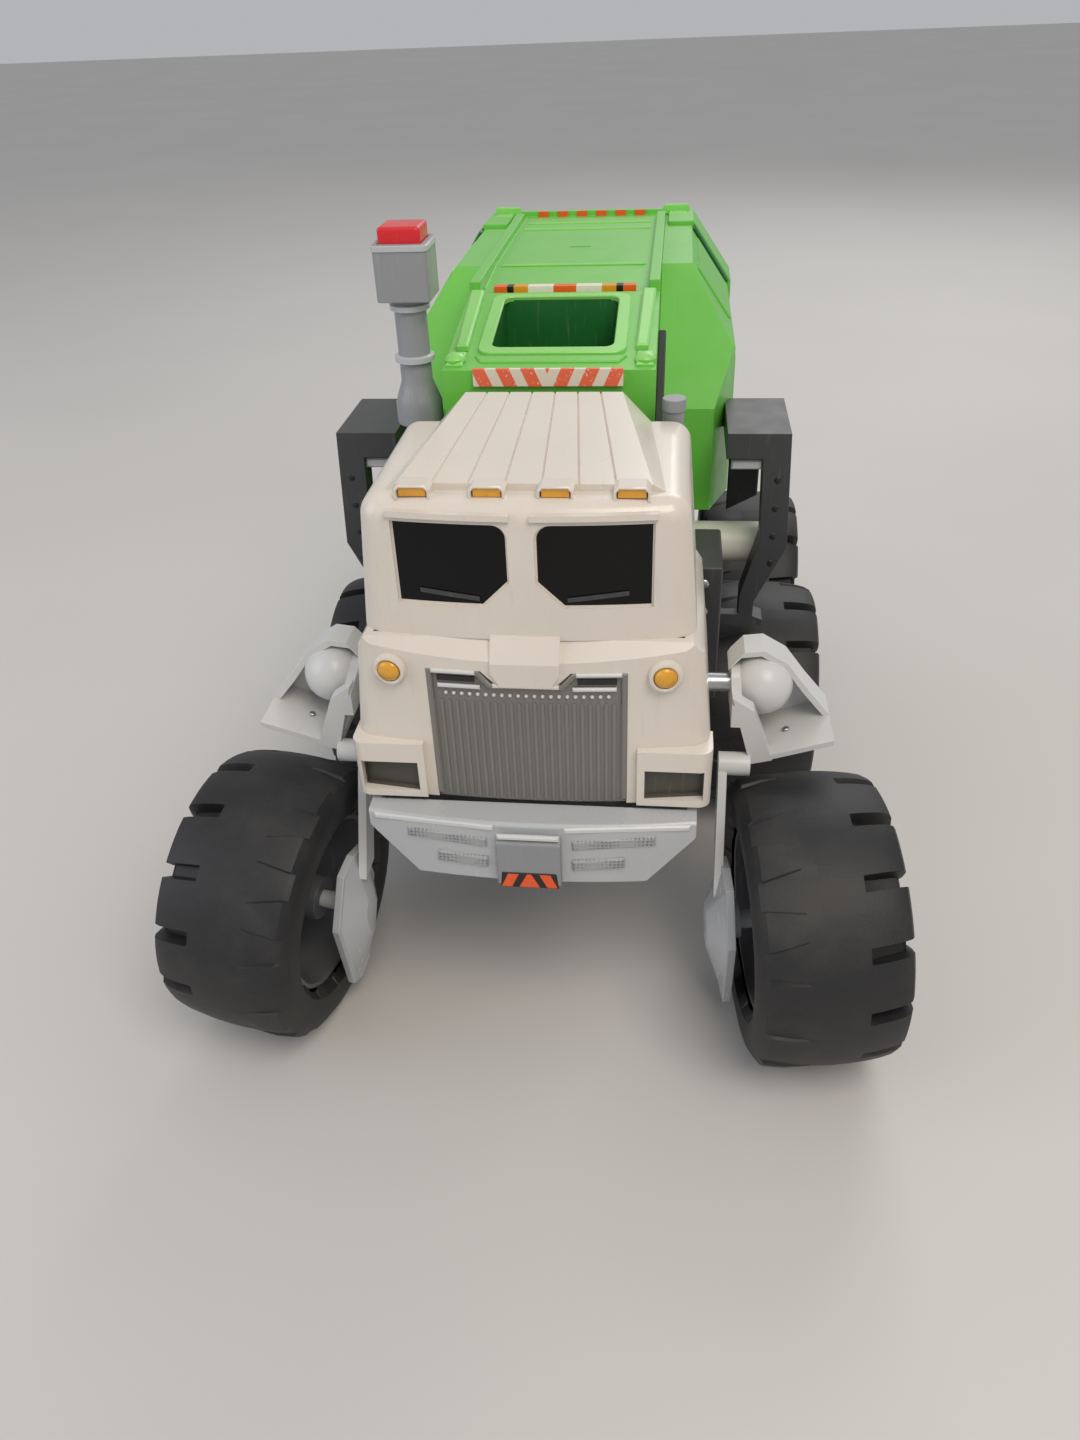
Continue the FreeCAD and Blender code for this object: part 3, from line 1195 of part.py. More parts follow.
# ---- write every piece --------------------------------------------------------------------

def pieces():
    shell = hull_shell()
    side = hull_side(shell)
    armour = fender()
    nodes = {
        "chassis_tub": chassis_tub(),
        "battery_door": battery_door(),
        "door_screws": door_screws(),
        "batteries": batteries(),
        "drive_gearbox": drive_gearbox(),
        "drive_motor": drive_motor(),
        "circuit_board": circuit_board(),
        "speaker": speaker(),
        "neck_frame": neck_frame(),
        "shoulder_shaft": shoulder_shaft(),
        "chassis_cheeks": chassis_cheeks(),
        "hip_brackets": hip_brackets(),
        "hip_bushes": hip_bushes(),
        "truck_cross_shaft": truck_cross_shaft(),
        "truck_beams": truck_beams(),
        "rear_axles": rear_axles(),
        "hull_side_left": side,
        "hull_side_right": mirrored(side),
        "hull_roof": hull_roof(),
        "tail_markers": tail_markers(),
        "hopper_housing": hopper_housing(),
        "hopper_liner": hopper_liner(),
        "bin_floor": bin_floor(),
        "hazard_lip": hazard_lip(),
        "light_bar": light_bar(),
        "side_struts": side_struts(),
        "tailgate": tailgate(),
        "stack_pipe": stack_pipe(),
        "stack_box": stack_box(),
        "stack_button": stack_button(),
        "stub_pipe": stub_pipe(),
        "cab_shell": cab_shell(),
        "window_panes": window_panes(),
        "wipers": wipers(),
        "grille": grille(),
        "headlamp_lenses": headlamp_lenses(),
        "corner_vents": corner_vents(),
        "roof_lamps": roof_lamps(),
        "roof_deflector": roof_deflector(),
        "jaw_pins": jaw_pins(),
        "bumper": bumper(),
        "bumper_block": bumper_block(),
        "fender_left": armour,
        "fender_right": mirrored(armour),
    }
    for side_name, sign in (("left", 1), ("right", -1)):
        nodes[f"hub_plate_{side_name}"] = hub_plate(sign)
        nodes[f"arm_link_{side_name}"] = arm_link(sign)
        for kind, shape in (("tyre", tyre()), ("rim", rim())):
            nodes[f"front_{kind}_{side_name}"] = at_front_wheel(shape, sign)
            nodes[f"mid_{kind}_{side_name}"] = at_rear_wheel(shape, sign, MID_Y)
            nodes[f"rear_{kind}_{side_name}"] = at_rear_wheel(shape, sign, REAR_Y)
    return nodes


os.makedirs("parts", exist_ok=True)
for node_name, node_shape in pieces().items():
    node_shape.exportStep(f"parts/{node_name}.step")
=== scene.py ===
import json
import math

import bmesh
import bpy
import numpy as np
from mathutils import Matrix, Vector

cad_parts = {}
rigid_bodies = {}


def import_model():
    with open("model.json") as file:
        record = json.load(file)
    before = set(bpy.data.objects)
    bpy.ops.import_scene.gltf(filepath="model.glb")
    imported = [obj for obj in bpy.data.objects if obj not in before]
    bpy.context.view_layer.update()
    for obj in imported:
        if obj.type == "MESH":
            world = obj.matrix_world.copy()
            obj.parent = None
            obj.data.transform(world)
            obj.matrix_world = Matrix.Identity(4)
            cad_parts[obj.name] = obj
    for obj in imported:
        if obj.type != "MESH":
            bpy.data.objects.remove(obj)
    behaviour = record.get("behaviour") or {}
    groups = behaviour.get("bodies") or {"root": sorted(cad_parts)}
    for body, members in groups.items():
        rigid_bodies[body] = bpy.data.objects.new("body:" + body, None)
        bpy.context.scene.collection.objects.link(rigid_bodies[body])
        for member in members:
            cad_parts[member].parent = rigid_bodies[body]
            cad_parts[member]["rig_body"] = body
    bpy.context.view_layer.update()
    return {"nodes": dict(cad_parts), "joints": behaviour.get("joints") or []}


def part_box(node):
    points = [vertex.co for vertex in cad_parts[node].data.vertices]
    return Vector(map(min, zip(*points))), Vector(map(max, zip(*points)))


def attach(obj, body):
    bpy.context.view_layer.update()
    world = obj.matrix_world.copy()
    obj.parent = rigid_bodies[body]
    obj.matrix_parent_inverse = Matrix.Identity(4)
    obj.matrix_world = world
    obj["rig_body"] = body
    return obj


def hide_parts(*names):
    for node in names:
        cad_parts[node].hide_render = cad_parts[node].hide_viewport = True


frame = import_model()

# ---- Floor, light and camera ---------------------------------------------------------------
# A pale seamless table under a big soft lamp overhead and in front, with weaker fill from both
# sides. The toy is seen from just above its own height, close to, through a wide lens.
MM = 0.001
TABLE_HALF = 9.0
CAMERA_AT = (0.05078, -0.50015, 0.400)
RIGHT = Vector((0.9932, 0.1096, -0.0371))
DOWN = Vector((0.0316, -0.5652, -0.8243))


def linear(code):
    """sRGB hex to linear red, green, blue, alpha."""
    shown = np.array([int(code[i:i + 2], 16) for i in (1, 3, 5)]) / 255
    light = np.where(shown <= 0.04045, shown / 12.92, ((shown + 0.055) / 1.055) ** 2.4)
    return (*light.tolist(), 1.0)


def put(tree, kind, inputs=(), **settings):
    """Adds a node: its settings, then its inputs by name or number, as values or as linked sockets."""
    made = tree.nodes.new(kind)
    for name, value in settings.items():
        setattr(made, name, value)
    for key, value in dict(inputs).items():
        if isinstance(value, bpy.types.NodeSocket):
            tree.links.new(value, made.inputs[key])
        else:
            made.inputs[key].default_value = value
    return made


def cells(size_mm):
    """Scale of a pattern whose cells are this many millimetres wide: one over the size in metres."""
    return 1 / (size_mm * MM)


def new_material(name):
    """An empty node material and its tree."""
    material = bpy.data.materials.new(name)
    material.use_nodes = True
    material.node_tree.nodes.clear()
    return material, material.node_tree


def seamless_table():
    """Matt painted board: nearly even, with a slow drift in tone."""
    material, tree = new_material("painted_board")
    place = put(tree, "ShaderNodeTexCoord").outputs["Object"]
    drift = put(tree, "ShaderNodeTexNoise", {"Vector": place, "Scale": cells(333)}).outputs["Fac"]
    tone = put(tree, "ShaderNodeMix", {0: drift, 6: linear("#C9C6C2"), 7: linear("#D3D0CC")},
               data_type="RGBA").outputs[2]
    shader = put(tree, "ShaderNodeBsdfPrincipled", {"Base Color": tone, "Roughness": 0.62})
    put(tree, "ShaderNodeOutputMaterial", {"Surface": shader.outputs[0]})
    return material


floor_mesh = bpy.data.meshes.new("floor")
table_corners = [(-TABLE_HALF, -TABLE_HALF, 0), (TABLE_HALF, -TABLE_HALF, 0), (TABLE_HALF, TABLE_HALF, 0),
                 (-TABLE_HALF, TABLE_HALF, 0)]
floor_mesh.from_pydata(table_corners, [], [(0, 1, 2, 3)])
floor_mesh.materials.append(seamless_table())
floor = bpy.data.objects.new("floor", floor_mesh)
bpy.context.scene.collection.objects.link(floor)

scene = bpy.context.scene
scene.world = bpy.data.worlds.new("studio")
scene.world.use_nodes = True
scene.world.node_tree.nodes["Background"].inputs["Color"].default_value = linear("#E9EBEF")
scene.world.node_tree.nodes["Background"].inputs["Strength"].default_value = 0.55
scene.view_settings.view_transform = "Standard"


def soft_lamp(name, place, target, size, watts, colour):
    """A square soft box at a place, facing a target."""
    data = bpy.data.lights.new(name, "AREA")
    data.size = size
    data.energy = watts
    data.color = linear(colour)[:3]
    lamp = bpy.data.objects.new(name, data)
    lamp.location = place
    lamp.rotation_euler = (Vector(target) - Vector(place)).to_track_quat("-Z", "Y").to_euler()
    scene.collection.objects.link(lamp)


soft_lamp("key_lamp", (0.55, -0.95, 1.55), (0, -0.05, 0.12), 0.9, 15, "#FFF4E6")
soft_lamp("fill_lamp", (-1.5, -0.7, 0.9), (0, 0, 0.15), 1.2, 7, "#EEF3FF")
soft_lamp("back_lamp", (0.5, 1.5, 1.3), (0, 0.1, 0.15), 1.0, 9, "#FFFFFF")

camera_data = bpy.data.cameras.new("camera")
camera_data.sensor_width = 36.0
camera_data.lens = 27.05
camera = bpy.data.objects.new("camera", camera_data)
back = RIGHT.cross(-DOWN).normalized()
camera.matrix_world = Matrix.Translation(CAMERA_AT) @ Matrix((RIGHT, -DOWN, back)).transposed().to_4x4()
scene.collection.objects.link(camera)
scene.camera = camera

# ---- Belly tub and what it holds -------------------------------------------------------------
# A deep tray of dark grey ABS, moulded in one piece with a spark-eroded surface; the cells, the
# gearbox and the board lie inside it, and a screwed cover closes the cells from below.
STREAK_MM = (2.0, 45.5, 16.7)


def span(node):
    """Lowest and highest corner of a CAD piece, in millimetres."""
    low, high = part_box(node)
    return np.array(low) / MM, np.array(high) / MM


def moulded_abs(name, code, gloss, grain_mm=0.9, grain=0.10, scuffs=0.30, dust=0.16):
    """Moulded ABS: an even colour that drifts a little, a spark-eroded skin, rubbed streaks, and dust.

    gloss is the roughness where it is clean. Streaks are long thin noise; dust lies on faces that look up.
    The real skin's grain is about 0.1 mm; it is drawn coarser, so that it shows as a soft sheen.
    """
    material, tree = new_material(name)
    base = np.array(linear(code))
    place = put(tree, "ShaderNodeTexCoord").outputs["Object"]
    drift = put(tree, "ShaderNodeTexNoise", {"Vector": place, "Scale": cells(50), "Detail": 3.0})
    dark, pale = base * 0.93, np.minimum(base * 1.06, 1)
    tone = put(tree, "ShaderNodeMix", {0: drift.outputs["Fac"], 6: (*dark[:3], 1), 7: (*pale[:3], 1)},
               data_type="RGBA").outputs[2]
    long_way = put(tree, "ShaderNodeMapping", {"Vector": place, "Rotation": (0.5, 0.4, 0.7),
                                               "Scale": tuple(map(cells, STREAK_MM))}).outputs[0]
    streak_noise = put(tree, "ShaderNodeTexNoise", {"Vector": long_way, "Scale": 1.0, "Detail": 5.0})
    streak = put(tree, "ShaderNodeMapRange", {"Value": streak_noise.outputs["Fac"], "From Min": 0.60,
                                              "From Max": 0.74, "To Max": scuffs}).outputs[0]
    up = put(tree, "ShaderNodeSeparateXYZ", {0: put(tree, "ShaderNodeNewGeometry").outputs["Normal"]})
    patches = put(tree, "ShaderNodeTexNoise", {"Vector": place, "Scale": cells(12), "Detail": 6.0})
    lying = put(tree, "ShaderNodeMapRange", {"Value": up.outputs[2], "From Min": 0.35, "From Max": 1.0,
                                             "To Max": dust}).outputs[0]
    settled = put(tree, "ShaderNodeMath", {0: lying, 1: patches.outputs["Fac"]},
                  operation="MULTIPLY").outputs[0]
    rubbed = put(tree, "ShaderNodeMath", {0: settled, 1: streak}, operation="MAXIMUM").outputs[0]
    skin = put(tree, "ShaderNodeMix", {0: rubbed, 6: tone, 7: linear("#B9B2A6")},
               data_type="RGBA").outputs[2]
    rough = put(tree, "ShaderNodeMapRange", {"Value": patches.outputs["Fac"], "From Min": 0.25,
                                             "From Max": 0.75, "To Min": gloss * 0.85,
                                             "To Max": gloss * 1.2}).outputs[0]
    dulled = put(tree, "ShaderNodeMath", {0: rubbed, 1: 0.5, 2: rough}, operation="MULTIPLY_ADD",
                 use_clamp=True).outputs[0]
    spark = put(tree, "ShaderNodeTexNoise", {"Vector": place, "Scale": cells(grain_mm), "Detail": 2.0})
    bump = put(tree, "ShaderNodeBump", {"Height": spark.outputs["Fac"], "Strength": grain,
                                        "Distance": 0.0004})
    shader = put(tree, "ShaderNodeBsdfPrincipled", {"Base Color": skin, "Roughness": dulled, "IOR": 1.53,
                                                    "Normal": bump.outputs[0]})
    put(tree, "ShaderNodeOutputMaterial", {"Surface": shader.outputs[0]})
    return material


def add_piece(name, mesh, material, body, crease=35):
    """A finished mesh, shaded smooth below its crease angle, with one material, riding on its body."""
    mesh.polygons.foreach_set("use_smooth", np.ones(len(mesh.polygons), bool))
    mesh.set_sharp_from_angle(angle=math.radians(crease))
    mesh.materials.clear()
    mesh.materials.append(material)
    piece = bpy.data.objects.new(name, mesh)
    scene.collection.objects.link(piece)
    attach(piece, body)
    return piece


def bevelled(piece, width_mm, segments=2, angle=28):
    """The small radius that a mould leaves along a piece's edges."""
    bevel = piece.modifiers.new("mould_radius", "BEVEL")
    bevel.width = width_mm * MM
    bevel.segments = segments
    bevel.limit_method = "ANGLE"
    bevel.angle_limit = math.radians(angle)
    bevel.harden_normals = True
    return piece


def moulded_from(node, name, material, radius_mm=0.4):
    """The CAD piece with its flat facets merged and its edges rounded, in its place on the same body."""
    source = frame["nodes"][node]
    mesh = source.data.copy()
    mesh.name = name
    work = bmesh.new()
    work.from_mesh(mesh)
    bmesh.ops.remove_doubles(work, verts=work.verts, dist=0.002 * MM)
    bmesh.ops.dissolve_limit(work, angle_limit=math.radians(0.5), verts=work.verts, edges=work.edges)
    work.to_mesh(mesh)
    work.free()
    if "custom_normal" in mesh.attributes:
        mesh.attributes.remove(mesh.attributes["custom_normal"])
    piece = add_piece(name, mesh, material, source["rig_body"])
    if radius_mm:
        bevelled(piece, radius_mm)
    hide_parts(node)
    return piece


def finish_node(node, material):
    """Gives a CAD piece its material and leaves its shape alone."""
    mesh = frame["nodes"][node].data
    mesh.materials.clear()
    mesh.materials.append(material)


dark_abs = moulded_abs("dark_grey_abs", "#3A3B3E", 0.42, grain=0.14, scuffs=0.08, dust=0.10)
white_nylon = moulded_abs("natural_nylon", "#DAD9CF", 0.38, scuffs=0.12)
black_abs = moulded_abs("black_abs", "#17181A", 0.36, scuffs=0.06, dust=0.08)


def drawn_steel():
    """Drawn steel rod: lengthways lines, drawn coarser than real so that they show, and a thin oil film
    that dulls it in patches."""
    material, tree = new_material("drawn_steel")
    place = put(tree, "ShaderNodeTexCoord").outputs["Object"]
    lines = put(tree, "ShaderNodeMapping", {"Vector": place,
                                            "Scale": (cells(33.3), cells(0.4), cells(0.4))}).outputs[0]
    drawn = put(tree, "ShaderNodeTexNoise", {"Vector": lines, "Scale": 1.0, "Detail": 3.0}).outputs["Fac"]
    patch = put(tree, "ShaderNodeTexNoise", {"Vector": place, "Scale": cells(7.14)}).outputs["Fac"]
    tone = put(tree, "ShaderNodeMix", {0: patch, 6: linear("#B4B4B6"), 7: linear("#D2D2D3")},
               data_type="RGBA").outputs[2]
    rough = put(tree, "ShaderNodeMapRange", {"Value": drawn, "To Min": 0.22, "To Max": 0.42}).outputs[0]
    bump = put(tree, "ShaderNodeBump", {"Height": drawn, "Strength": 0.15, "Distance": 0.0001})
    shader = put(tree, "ShaderNodeBsdfPrincipled", {"Base Color": tone, "Roughness": rough, "Metallic": 1.0,
                                                    "Normal": bump.outputs[0]})
    put(tree, "ShaderNodeOutputMaterial", {"Surface": shader.outputs[0]})
    return material


steel = drawn_steel()
moulded_from("chassis_tub", "belly_tub", dark_abs, 0.6)
moulded_from("battery_door", "cell_cover", dark_abs, 0.5)
for node in ("door_screws", "drive_motor", "shoulder_shaft", "truck_cross_shaft", "rear_axles", "jaw_pins"):
    finish_node(node, steel)
finish_node("drive_gearbox", white_nylon)
finish_node("speaker", black_abs)
finish_node("circuit_board", moulded_abs("board_laminate", "#2E6B3A", 0.45, scuffs=0.1))
finish_node("batteries", moulded_abs("foil_wrap", "#4A4D55", 0.25, scuffs=0.2, dust=0.0))

# ---- Wheel truck -----------------------------------------------------------------------------
# One gear case each side, moulded in dark grey ABS as two halves that are screwed together. Both are
# pinned to the steel cross shaft, on which the truck rocks, and the wheel axles are pressed through them.
moulded_from("truck_beams", "truck_gear_cases", dark_abs, 0.8)

# ---- Wheels ----------------------------------------------------------------------------------
# Six alike. The tyre is blow-moulded in black PVC with deep gaps between its outer lugs and thin
# pads on its inner shoulder; it snaps over a dished rim of dark ABS that is open towards the truck.
TYRE_R = 62.0
BEAD_R = 39.7
BORE_R = 4.2
BORE_EASE = 1.04
LUGS = 14
LUG_GAP = 0.20
LUG_DEPTH = 6.0
LUG_FROM = 13.0
GAP_LOW_R = 47
GAP_CUT_IN = 2.4
PAD_H = 1.3
PAD_LEAN = 0.13
PAD_FROM, PAD_TO = -27, -8
# Stations across the tyre from its inner bead to its outer one: distance outwards and radius.
TYRE_PROFILE = ((-26, BEAD_R), (-29.4, BEAD_R + 4), (-30, 50), (-29.6, 55), (-27.5, 58.6), (-26, 59.4),
                (-25, 59.7), (-18, 60.9), (-11, 61.6), (-6, 61.8), (-4, 61.95), (3, 62), (9, 61.75),
                (LUG_FROM - 1, 61.5), (LUG_FROM, 61.4), (17, 61.0), (22, 60.2), (26, 59.2), (28.6, 57.8),
                (29.8, 55.5), (30, 51), (29.8, 48), (29, 46.5), (28, 45), (26, BEAD_R))


def black_pvc():
    """Blow-moulded PVC: almost black and waxy, with grey floor dust in clouds. Its grain is drawn coarser
    than real, so that it shows."""
    material, tree = new_material("black_pvc")
    place = put(tree, "ShaderNodeTexCoord").outputs["Object"]
    cloud = put(tree, "ShaderNodeTexNoise", {"Vector": place, "Scale": cells(30), "Detail": 8.0,
                                             "Roughness": 0.65}).outputs["Fac"]
    dust = put(tree, "ShaderNodeMapRange", {"Value": cloud, "From Min": 0.45, "From Max": 0.8,
                                            "To Max": 0.20}).outputs[0]
    tone = put(tree, "ShaderNodeMix", {0: dust, 6: linear("#1D1D1F"), 7: linear("#6B675F")},
               data_type="RGBA").outputs[2]
    rough = put(tree, "ShaderNodeMapRange", {"Value": cloud, "To Min": 0.40, "To Max": 0.72}).outputs[0]
    grain = put(tree, "ShaderNodeTexNoise", {"Vector": place, "Scale": cells(1.1), "Detail": 3.0})
    bump = put(tree, "ShaderNodeBump", {"Height": grain.outputs["Fac"], "Strength": 0.22,
                                        "Distance": 0.0004})
    shader = put(tree, "ShaderNodeBsdfPrincipled", {"Base Color": tone, "Roughness": rough, "IOR": 1.52,
                                                    "Normal": bump.outputs[0]})
    put(tree, "ShaderNodeOutputMaterial", {"Surface": shader.outputs[0]})
    return material


def grid_faces(rows, columns, close_rows=False, close_columns=False):
    """Four-sided faces of a grid of points; a closed direction joins its last line to its first."""
    i = np.arange(rows if close_rows else rows - 1)[:, None]
    j = np.arange(columns if close_columns else columns - 1)[None, :]
    after_i, after_j = (i + 1) % rows, (j + 1) % columns
    corners = [i * columns + j, after_i * columns + j, after_i * columns + after_j, i * columns + after_j]
    return np.stack(np.broadcast_arrays(*corners), -1).reshape(-1, 4)


def mesh_of(name, points_mm, faces):
    """A mesh in metres from points in millimetres, with its faces turned outwards."""
    mesh = bpy.data.meshes.new(name)
    mesh.from_pydata((np.asarray(points_mm, float).reshape(-1, 3) * MM).tolist(), [], faces)
    work = bmesh.new()
    work.from_mesh(mesh)
    bmesh.ops.remove_doubles(work, verts=work.verts, dist=0.001 * MM)
    bmesh.ops.recalc_face_normals(work, faces=work.faces)
    work.to_mesh(mesh)
    work.free()
    return mesh


def station_shares(x):
    """Share of a lug's pitch at which each line of points runs, for stations across the tyre: the lug's
    edge, the pad's near edge, its middle, its far edge, the lug's end and the gap, most of them as a pair.
    The pad's edges draw together from the tyre's inner side towards its crown."""
    lean = PAD_LEAN * np.interp(x, [-25, -6], [0.0, 1.0])
    level = np.zeros_like(x)
    return np.stack([level, level + 0.02, 0.12 + lean, 0.145 + lean, level + 0.42, 0.695 - lean,
                     0.72 - lean, level + 0.76, level + 1 - LUG_GAP, level + 1 - LUG_GAP / 2, level + 0.98])


def tyre_points():
    """Grid of (station round, station across). Radius is the profile's, less the depth of the gap that
    ends each lug on the outer side, plus a thin pad that tapers towards the crown on the inner side."""
    x, radius = np.array(TYRE_PROFILE).T
    share = station_shares(x)
    line = np.arange(len(share))
    in_gap, in_pad = (line >= 8)[:, None], ((line >= 3) & (line <= 5))[:, None]
    on_outer = ((x >= LUG_FROM) & (radius > GAP_LOW_R))[None, :]
    fall = np.interp(x, [LUG_FROM, 15, 30], [0.75, 1.0, 1.0]) * LUG_DEPTH
    fall = np.where(radius < 56, fall * np.clip((radius - 46) / 10, 0, 1) * 0.6, fall)
    depth = np.where(in_gap & on_outer, fall[None, :], 0.0)
    sideways = np.where(in_gap & on_outer & (x > 28)[None, :], GAP_CUT_IN, 0.0)
    pad = np.where(in_pad & ((x > PAD_FROM) & (x < PAD_TO))[None, :], PAD_H, 0.0)
    one_lug = np.minimum(radius[None, :] - depth + pad, TYRE_R)
    turn = (np.arange(LUGS)[:, None, None] + share[None, :, :]) / LUGS
    slant = np.interp(x, [-30, -10, 10, 30], [0.004, 0.0, 0.0, -0.006])
    angle = 2 * math.pi * (turn + slant).reshape(-1, len(x))
    r = np.tile(one_lug, (LUGS, 1))
    return np.stack([np.tile(x[None, :] - sideways, (LUGS, 1)), r * np.cos(angle), r * np.sin(angle)], -1)


def wheel_place(joint, side):
    """Matrix from a wheel's own frame, +X outwards, to its place on its axle."""
    outward = Vector(joint["axis"]) * (1 if joint["axis"][0] * side > 0 else -1)
    turned_out = Vector((1, 0, 0)).rotation_difference(outward).to_matrix().to_4x4()
    return Matrix.Translation(joint["pos_m"]) @ turned_out


def ease_bore(mesh, place):
    """Widens a rim's bore a little, so that its flat facets clear the round axle as the wheel turns."""
    spots = np.empty(len(mesh.vertices) * 3)
    mesh.vertices.foreach_get("co", spots)
    turn, centre = np.array(place.to_3x3()), np.array(place.translation)
    local = (spots.reshape(-1, 3) - centre) @ turn
    near = np.hypot(local[:, 1], local[:, 2]) < BORE_R * MM
    local[near, 1:] *= BORE_EASE
    mesh.vertices.foreach_set("co", (local @ turn.T + centre).ravel())


pvc = black_pvc()
rim_abs = moulded_abs("rim_abs", "#56585C", 0.35, scuffs=0.2)
tread = tyre_points()
tread_faces = grid_faces(len(tread), tread.shape[1], close_rows=True).tolist()
for joint in frame["joints"]:
    if not joint["child"].startswith(("front_wheel", "mid_wheel", "rear_wheel")):
        continue
    place_name, _, side_name = joint["child"].split("_")
    side = 1 if side_name == "left" else -1
    on_axle = wheel_place(joint, side)
    tyre_mesh = mesh_of(f"{place_name}_tread_{side_name}", tread, tread_faces)
    tyre_mesh.transform(on_axle)
    tyre = add_piece(tyre_mesh.name, tyre_mesh, pvc, joint["child"], crease=30)
    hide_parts(f"{place_name}_tyre_{side_name}")
    dish = moulded_from(f"{place_name}_rim_{side_name}", f"{place_name}_dish_{side_name}", rim_abs,
                        0.6)
    ease_bore(dish.data, on_axle)

# ---- Neck, cheeks and hip brackets -----------------------------------------------------------
# The neck carries the cab's shaft out in front of the tub. Two cheeks close the tub's shoulders, and
# outside them stand the hip brackets: ABS hoops with pressed-in steel rivets and white nylon bushes.
RIVET_R = 2.2
RIVET_H = 0.9
RIVET_OUT = 68
RIVET_DROPS = (8, 22, 38)
DOT_R = 1.7
DOT_H = 0.5
DOT_OUT = 100.5
DOT_DROPS = (22, 36, 50, 64)
HOOP_TOP = 12
# A satin silver bar along each hip hoop's top arm: a painted highlight.
HIGHLIGHT_BAR_H = 4.5
HIGHLIGHT_BAR_GAP = 1.2
HIGHLIGHT_BAR_HALF = 7
HIGHLIGHT_BAR_T = 3
HIGHLIGHT_BAR_OUT = 86
HIGHLIGHT_BAR_BACK = 5
# Outline of the black plate in each hip hoop's opening: painted shade, not a part of its own.
HOLLOW_SHADE = ((80.0, 174), (95.0, 182), (95.0, 216.6), (80.0, 216.6))
HOLLOW_BACK, HOLLOW_FRONT = -24, -20


def inset(loop, by):
    """A counter-clockwise outline moved inwards, each corner along its mitre."""
    ahead = np.roll(loop, -1, 0) - loop
    ahead = ahead / np.linalg.norm(ahead, axis=1, keepdims=True)
    inward = np.stack([-ahead[:, 1], ahead[:, 0]], -1)
    before = np.roll(inward, 1, 0)
    return loop + by * (inward + before) / (1 + (inward * before).sum(1))[:, None]


def slab(outline, low, high, edge=0.3):
    """Points and faces of a plate over an outline, between two heights, with chamfered edges all round."""
    loop = np.asarray(outline, float)
    if np.sum(loop[:, 0] * np.roll(loop[:, 1], -1) - loop[:, 1] * np.roll(loop[:, 0], -1)) < 0:
        loop = loop[::-1]
    rings = [(inset(loop, edge), low), (loop, low + edge), (loop, high - edge), (inset(loop, edge), high)]
    points = np.concatenate([np.column_stack([ring, np.full(len(ring), height)]) for ring, height in rings])
    count = len(loop)
    faces = grid_faces(4, count, close_columns=True).tolist()
    return points, faces + [list(range(count))[::-1], list(range(3 * count, 4 * count))]


def turned(profile, segments=32):
    """Points and faces of a solid of revolution about the third axis, from (radius, height) stations."""
    radius, height = np.array(profile, float).T
    angle = np.linspace(0, 2 * math.pi, segments, endpoint=False)
    rings = np.stack([radius[:, None] * np.cos(angle), radius[:, None] * np.sin(angle),
                      np.broadcast_to(height[:, None], (len(height), segments))], -1)
    return rings.reshape(-1, 3), grid_faces(len(profile), segments, close_columns=True).tolist()


def dome(radius, height, rings=6, segments=28):
    """Half an ellipsoid on the third axis with a flat foot: radius times cosine, height times sine."""
    rise = np.linspace(0, math.pi / 2, rings)
    profile = [(0.0, 0.0)] + list(zip(radius * np.cos(rise), height * np.sin(rise)))
    return turned(profile, segments)


def set_at(shape, origin, first, second):
    """A shape moved so that its three axes lie along first, second and their cross product."""
    points, faces = shape
    first, second = np.asarray(first, float), np.asarray(second, float)
    axes = np.stack([first, second, np.cross(first, second)])
    return np.asarray(origin, float) + points @ axes, faces


def together(shapes):
    """Several shapes as one list of points and one list of faces."""
    starts = np.cumsum([0] + [len(points) for points, _ in shapes])
    faces = [[index + start for index in face] for (_, own), start in zip(shapes, starts) for face in own]
    return np.concatenate([points for points, _ in shapes]), faces


def build(name, shapes, material, body, crease=35):
    """One piece from one or more shapes in millimetres."""
    points, faces = together(shapes)
    piece = add_piece(name, mesh_of(name, points, faces), material, body, crease)
    return piece


def band(path, width):
    """Outline of a strip of even width along an open path, with mitred corners."""
    path = np.asarray(path, float)
    ahead = np.diff(path, axis=0)
    ahead = ahead / np.linalg.norm(ahead, axis=1, keepdims=True)
    normal = np.stack([-ahead[:, 1], ahead[:, 0]], -1)
    first, last = np.concatenate([normal[:1], normal]), np.concatenate([normal, normal[-1:]])
    shift = (first + last) / (1 + (first * last).sum(1))[:, None] * width / 2
    return np.concatenate([path + shift, (path - shift)[::-1]])


def mirrored(points, side):
    """Points drawn on the left side of the middle, or their mirror image on the right: the first
    coordinate times 1 or -1."""
    return np.asarray(points, float) * [side, 1]


X, Y, Z = np.eye(3)
light_abs = moulded_abs("light_grey_abs", "#D2D3D2", 0.30, scuffs=0.18)
# Satin silver ABS; on the hip hoops it is also used for a bar that is a painted highlight.
bright_abs = moulded_abs("satin_silver_abs", "#B9BCBF", 0.24, scuffs=0.15)
moulded_from("neck_frame", "neck", dark_abs, 0.8)
moulded_from("chassis_cheeks", "cheeks", dark_abs, 1.2)
moulded_from("hip_brackets", "hip_hoops", dark_abs, 1.0)
moulded_from("hip_bushes", "hip_rollers", white_nylon, 0.6)
cheek_low, cheek_high = span("chassis_cheeks")
hip_low, hip_high = span("hip_brackets")
rivets, dots, highlight_bars, hollow_shades = [], [], [], []
bar = slab([(-HIGHLIGHT_BAR_HALF, 0), (HIGHLIGHT_BAR_HALF, 0), (HIGHLIGHT_BAR_HALF, HIGHLIGHT_BAR_H),
            (-HIGHLIGHT_BAR_HALF, HIGHLIGHT_BAR_H)], 0, HIGHLIGHT_BAR_T, 0.7)
highlight_z = hip_high[2] - HOOP_TOP - HIGHLIGHT_BAR_GAP - HIGHLIGHT_BAR_H
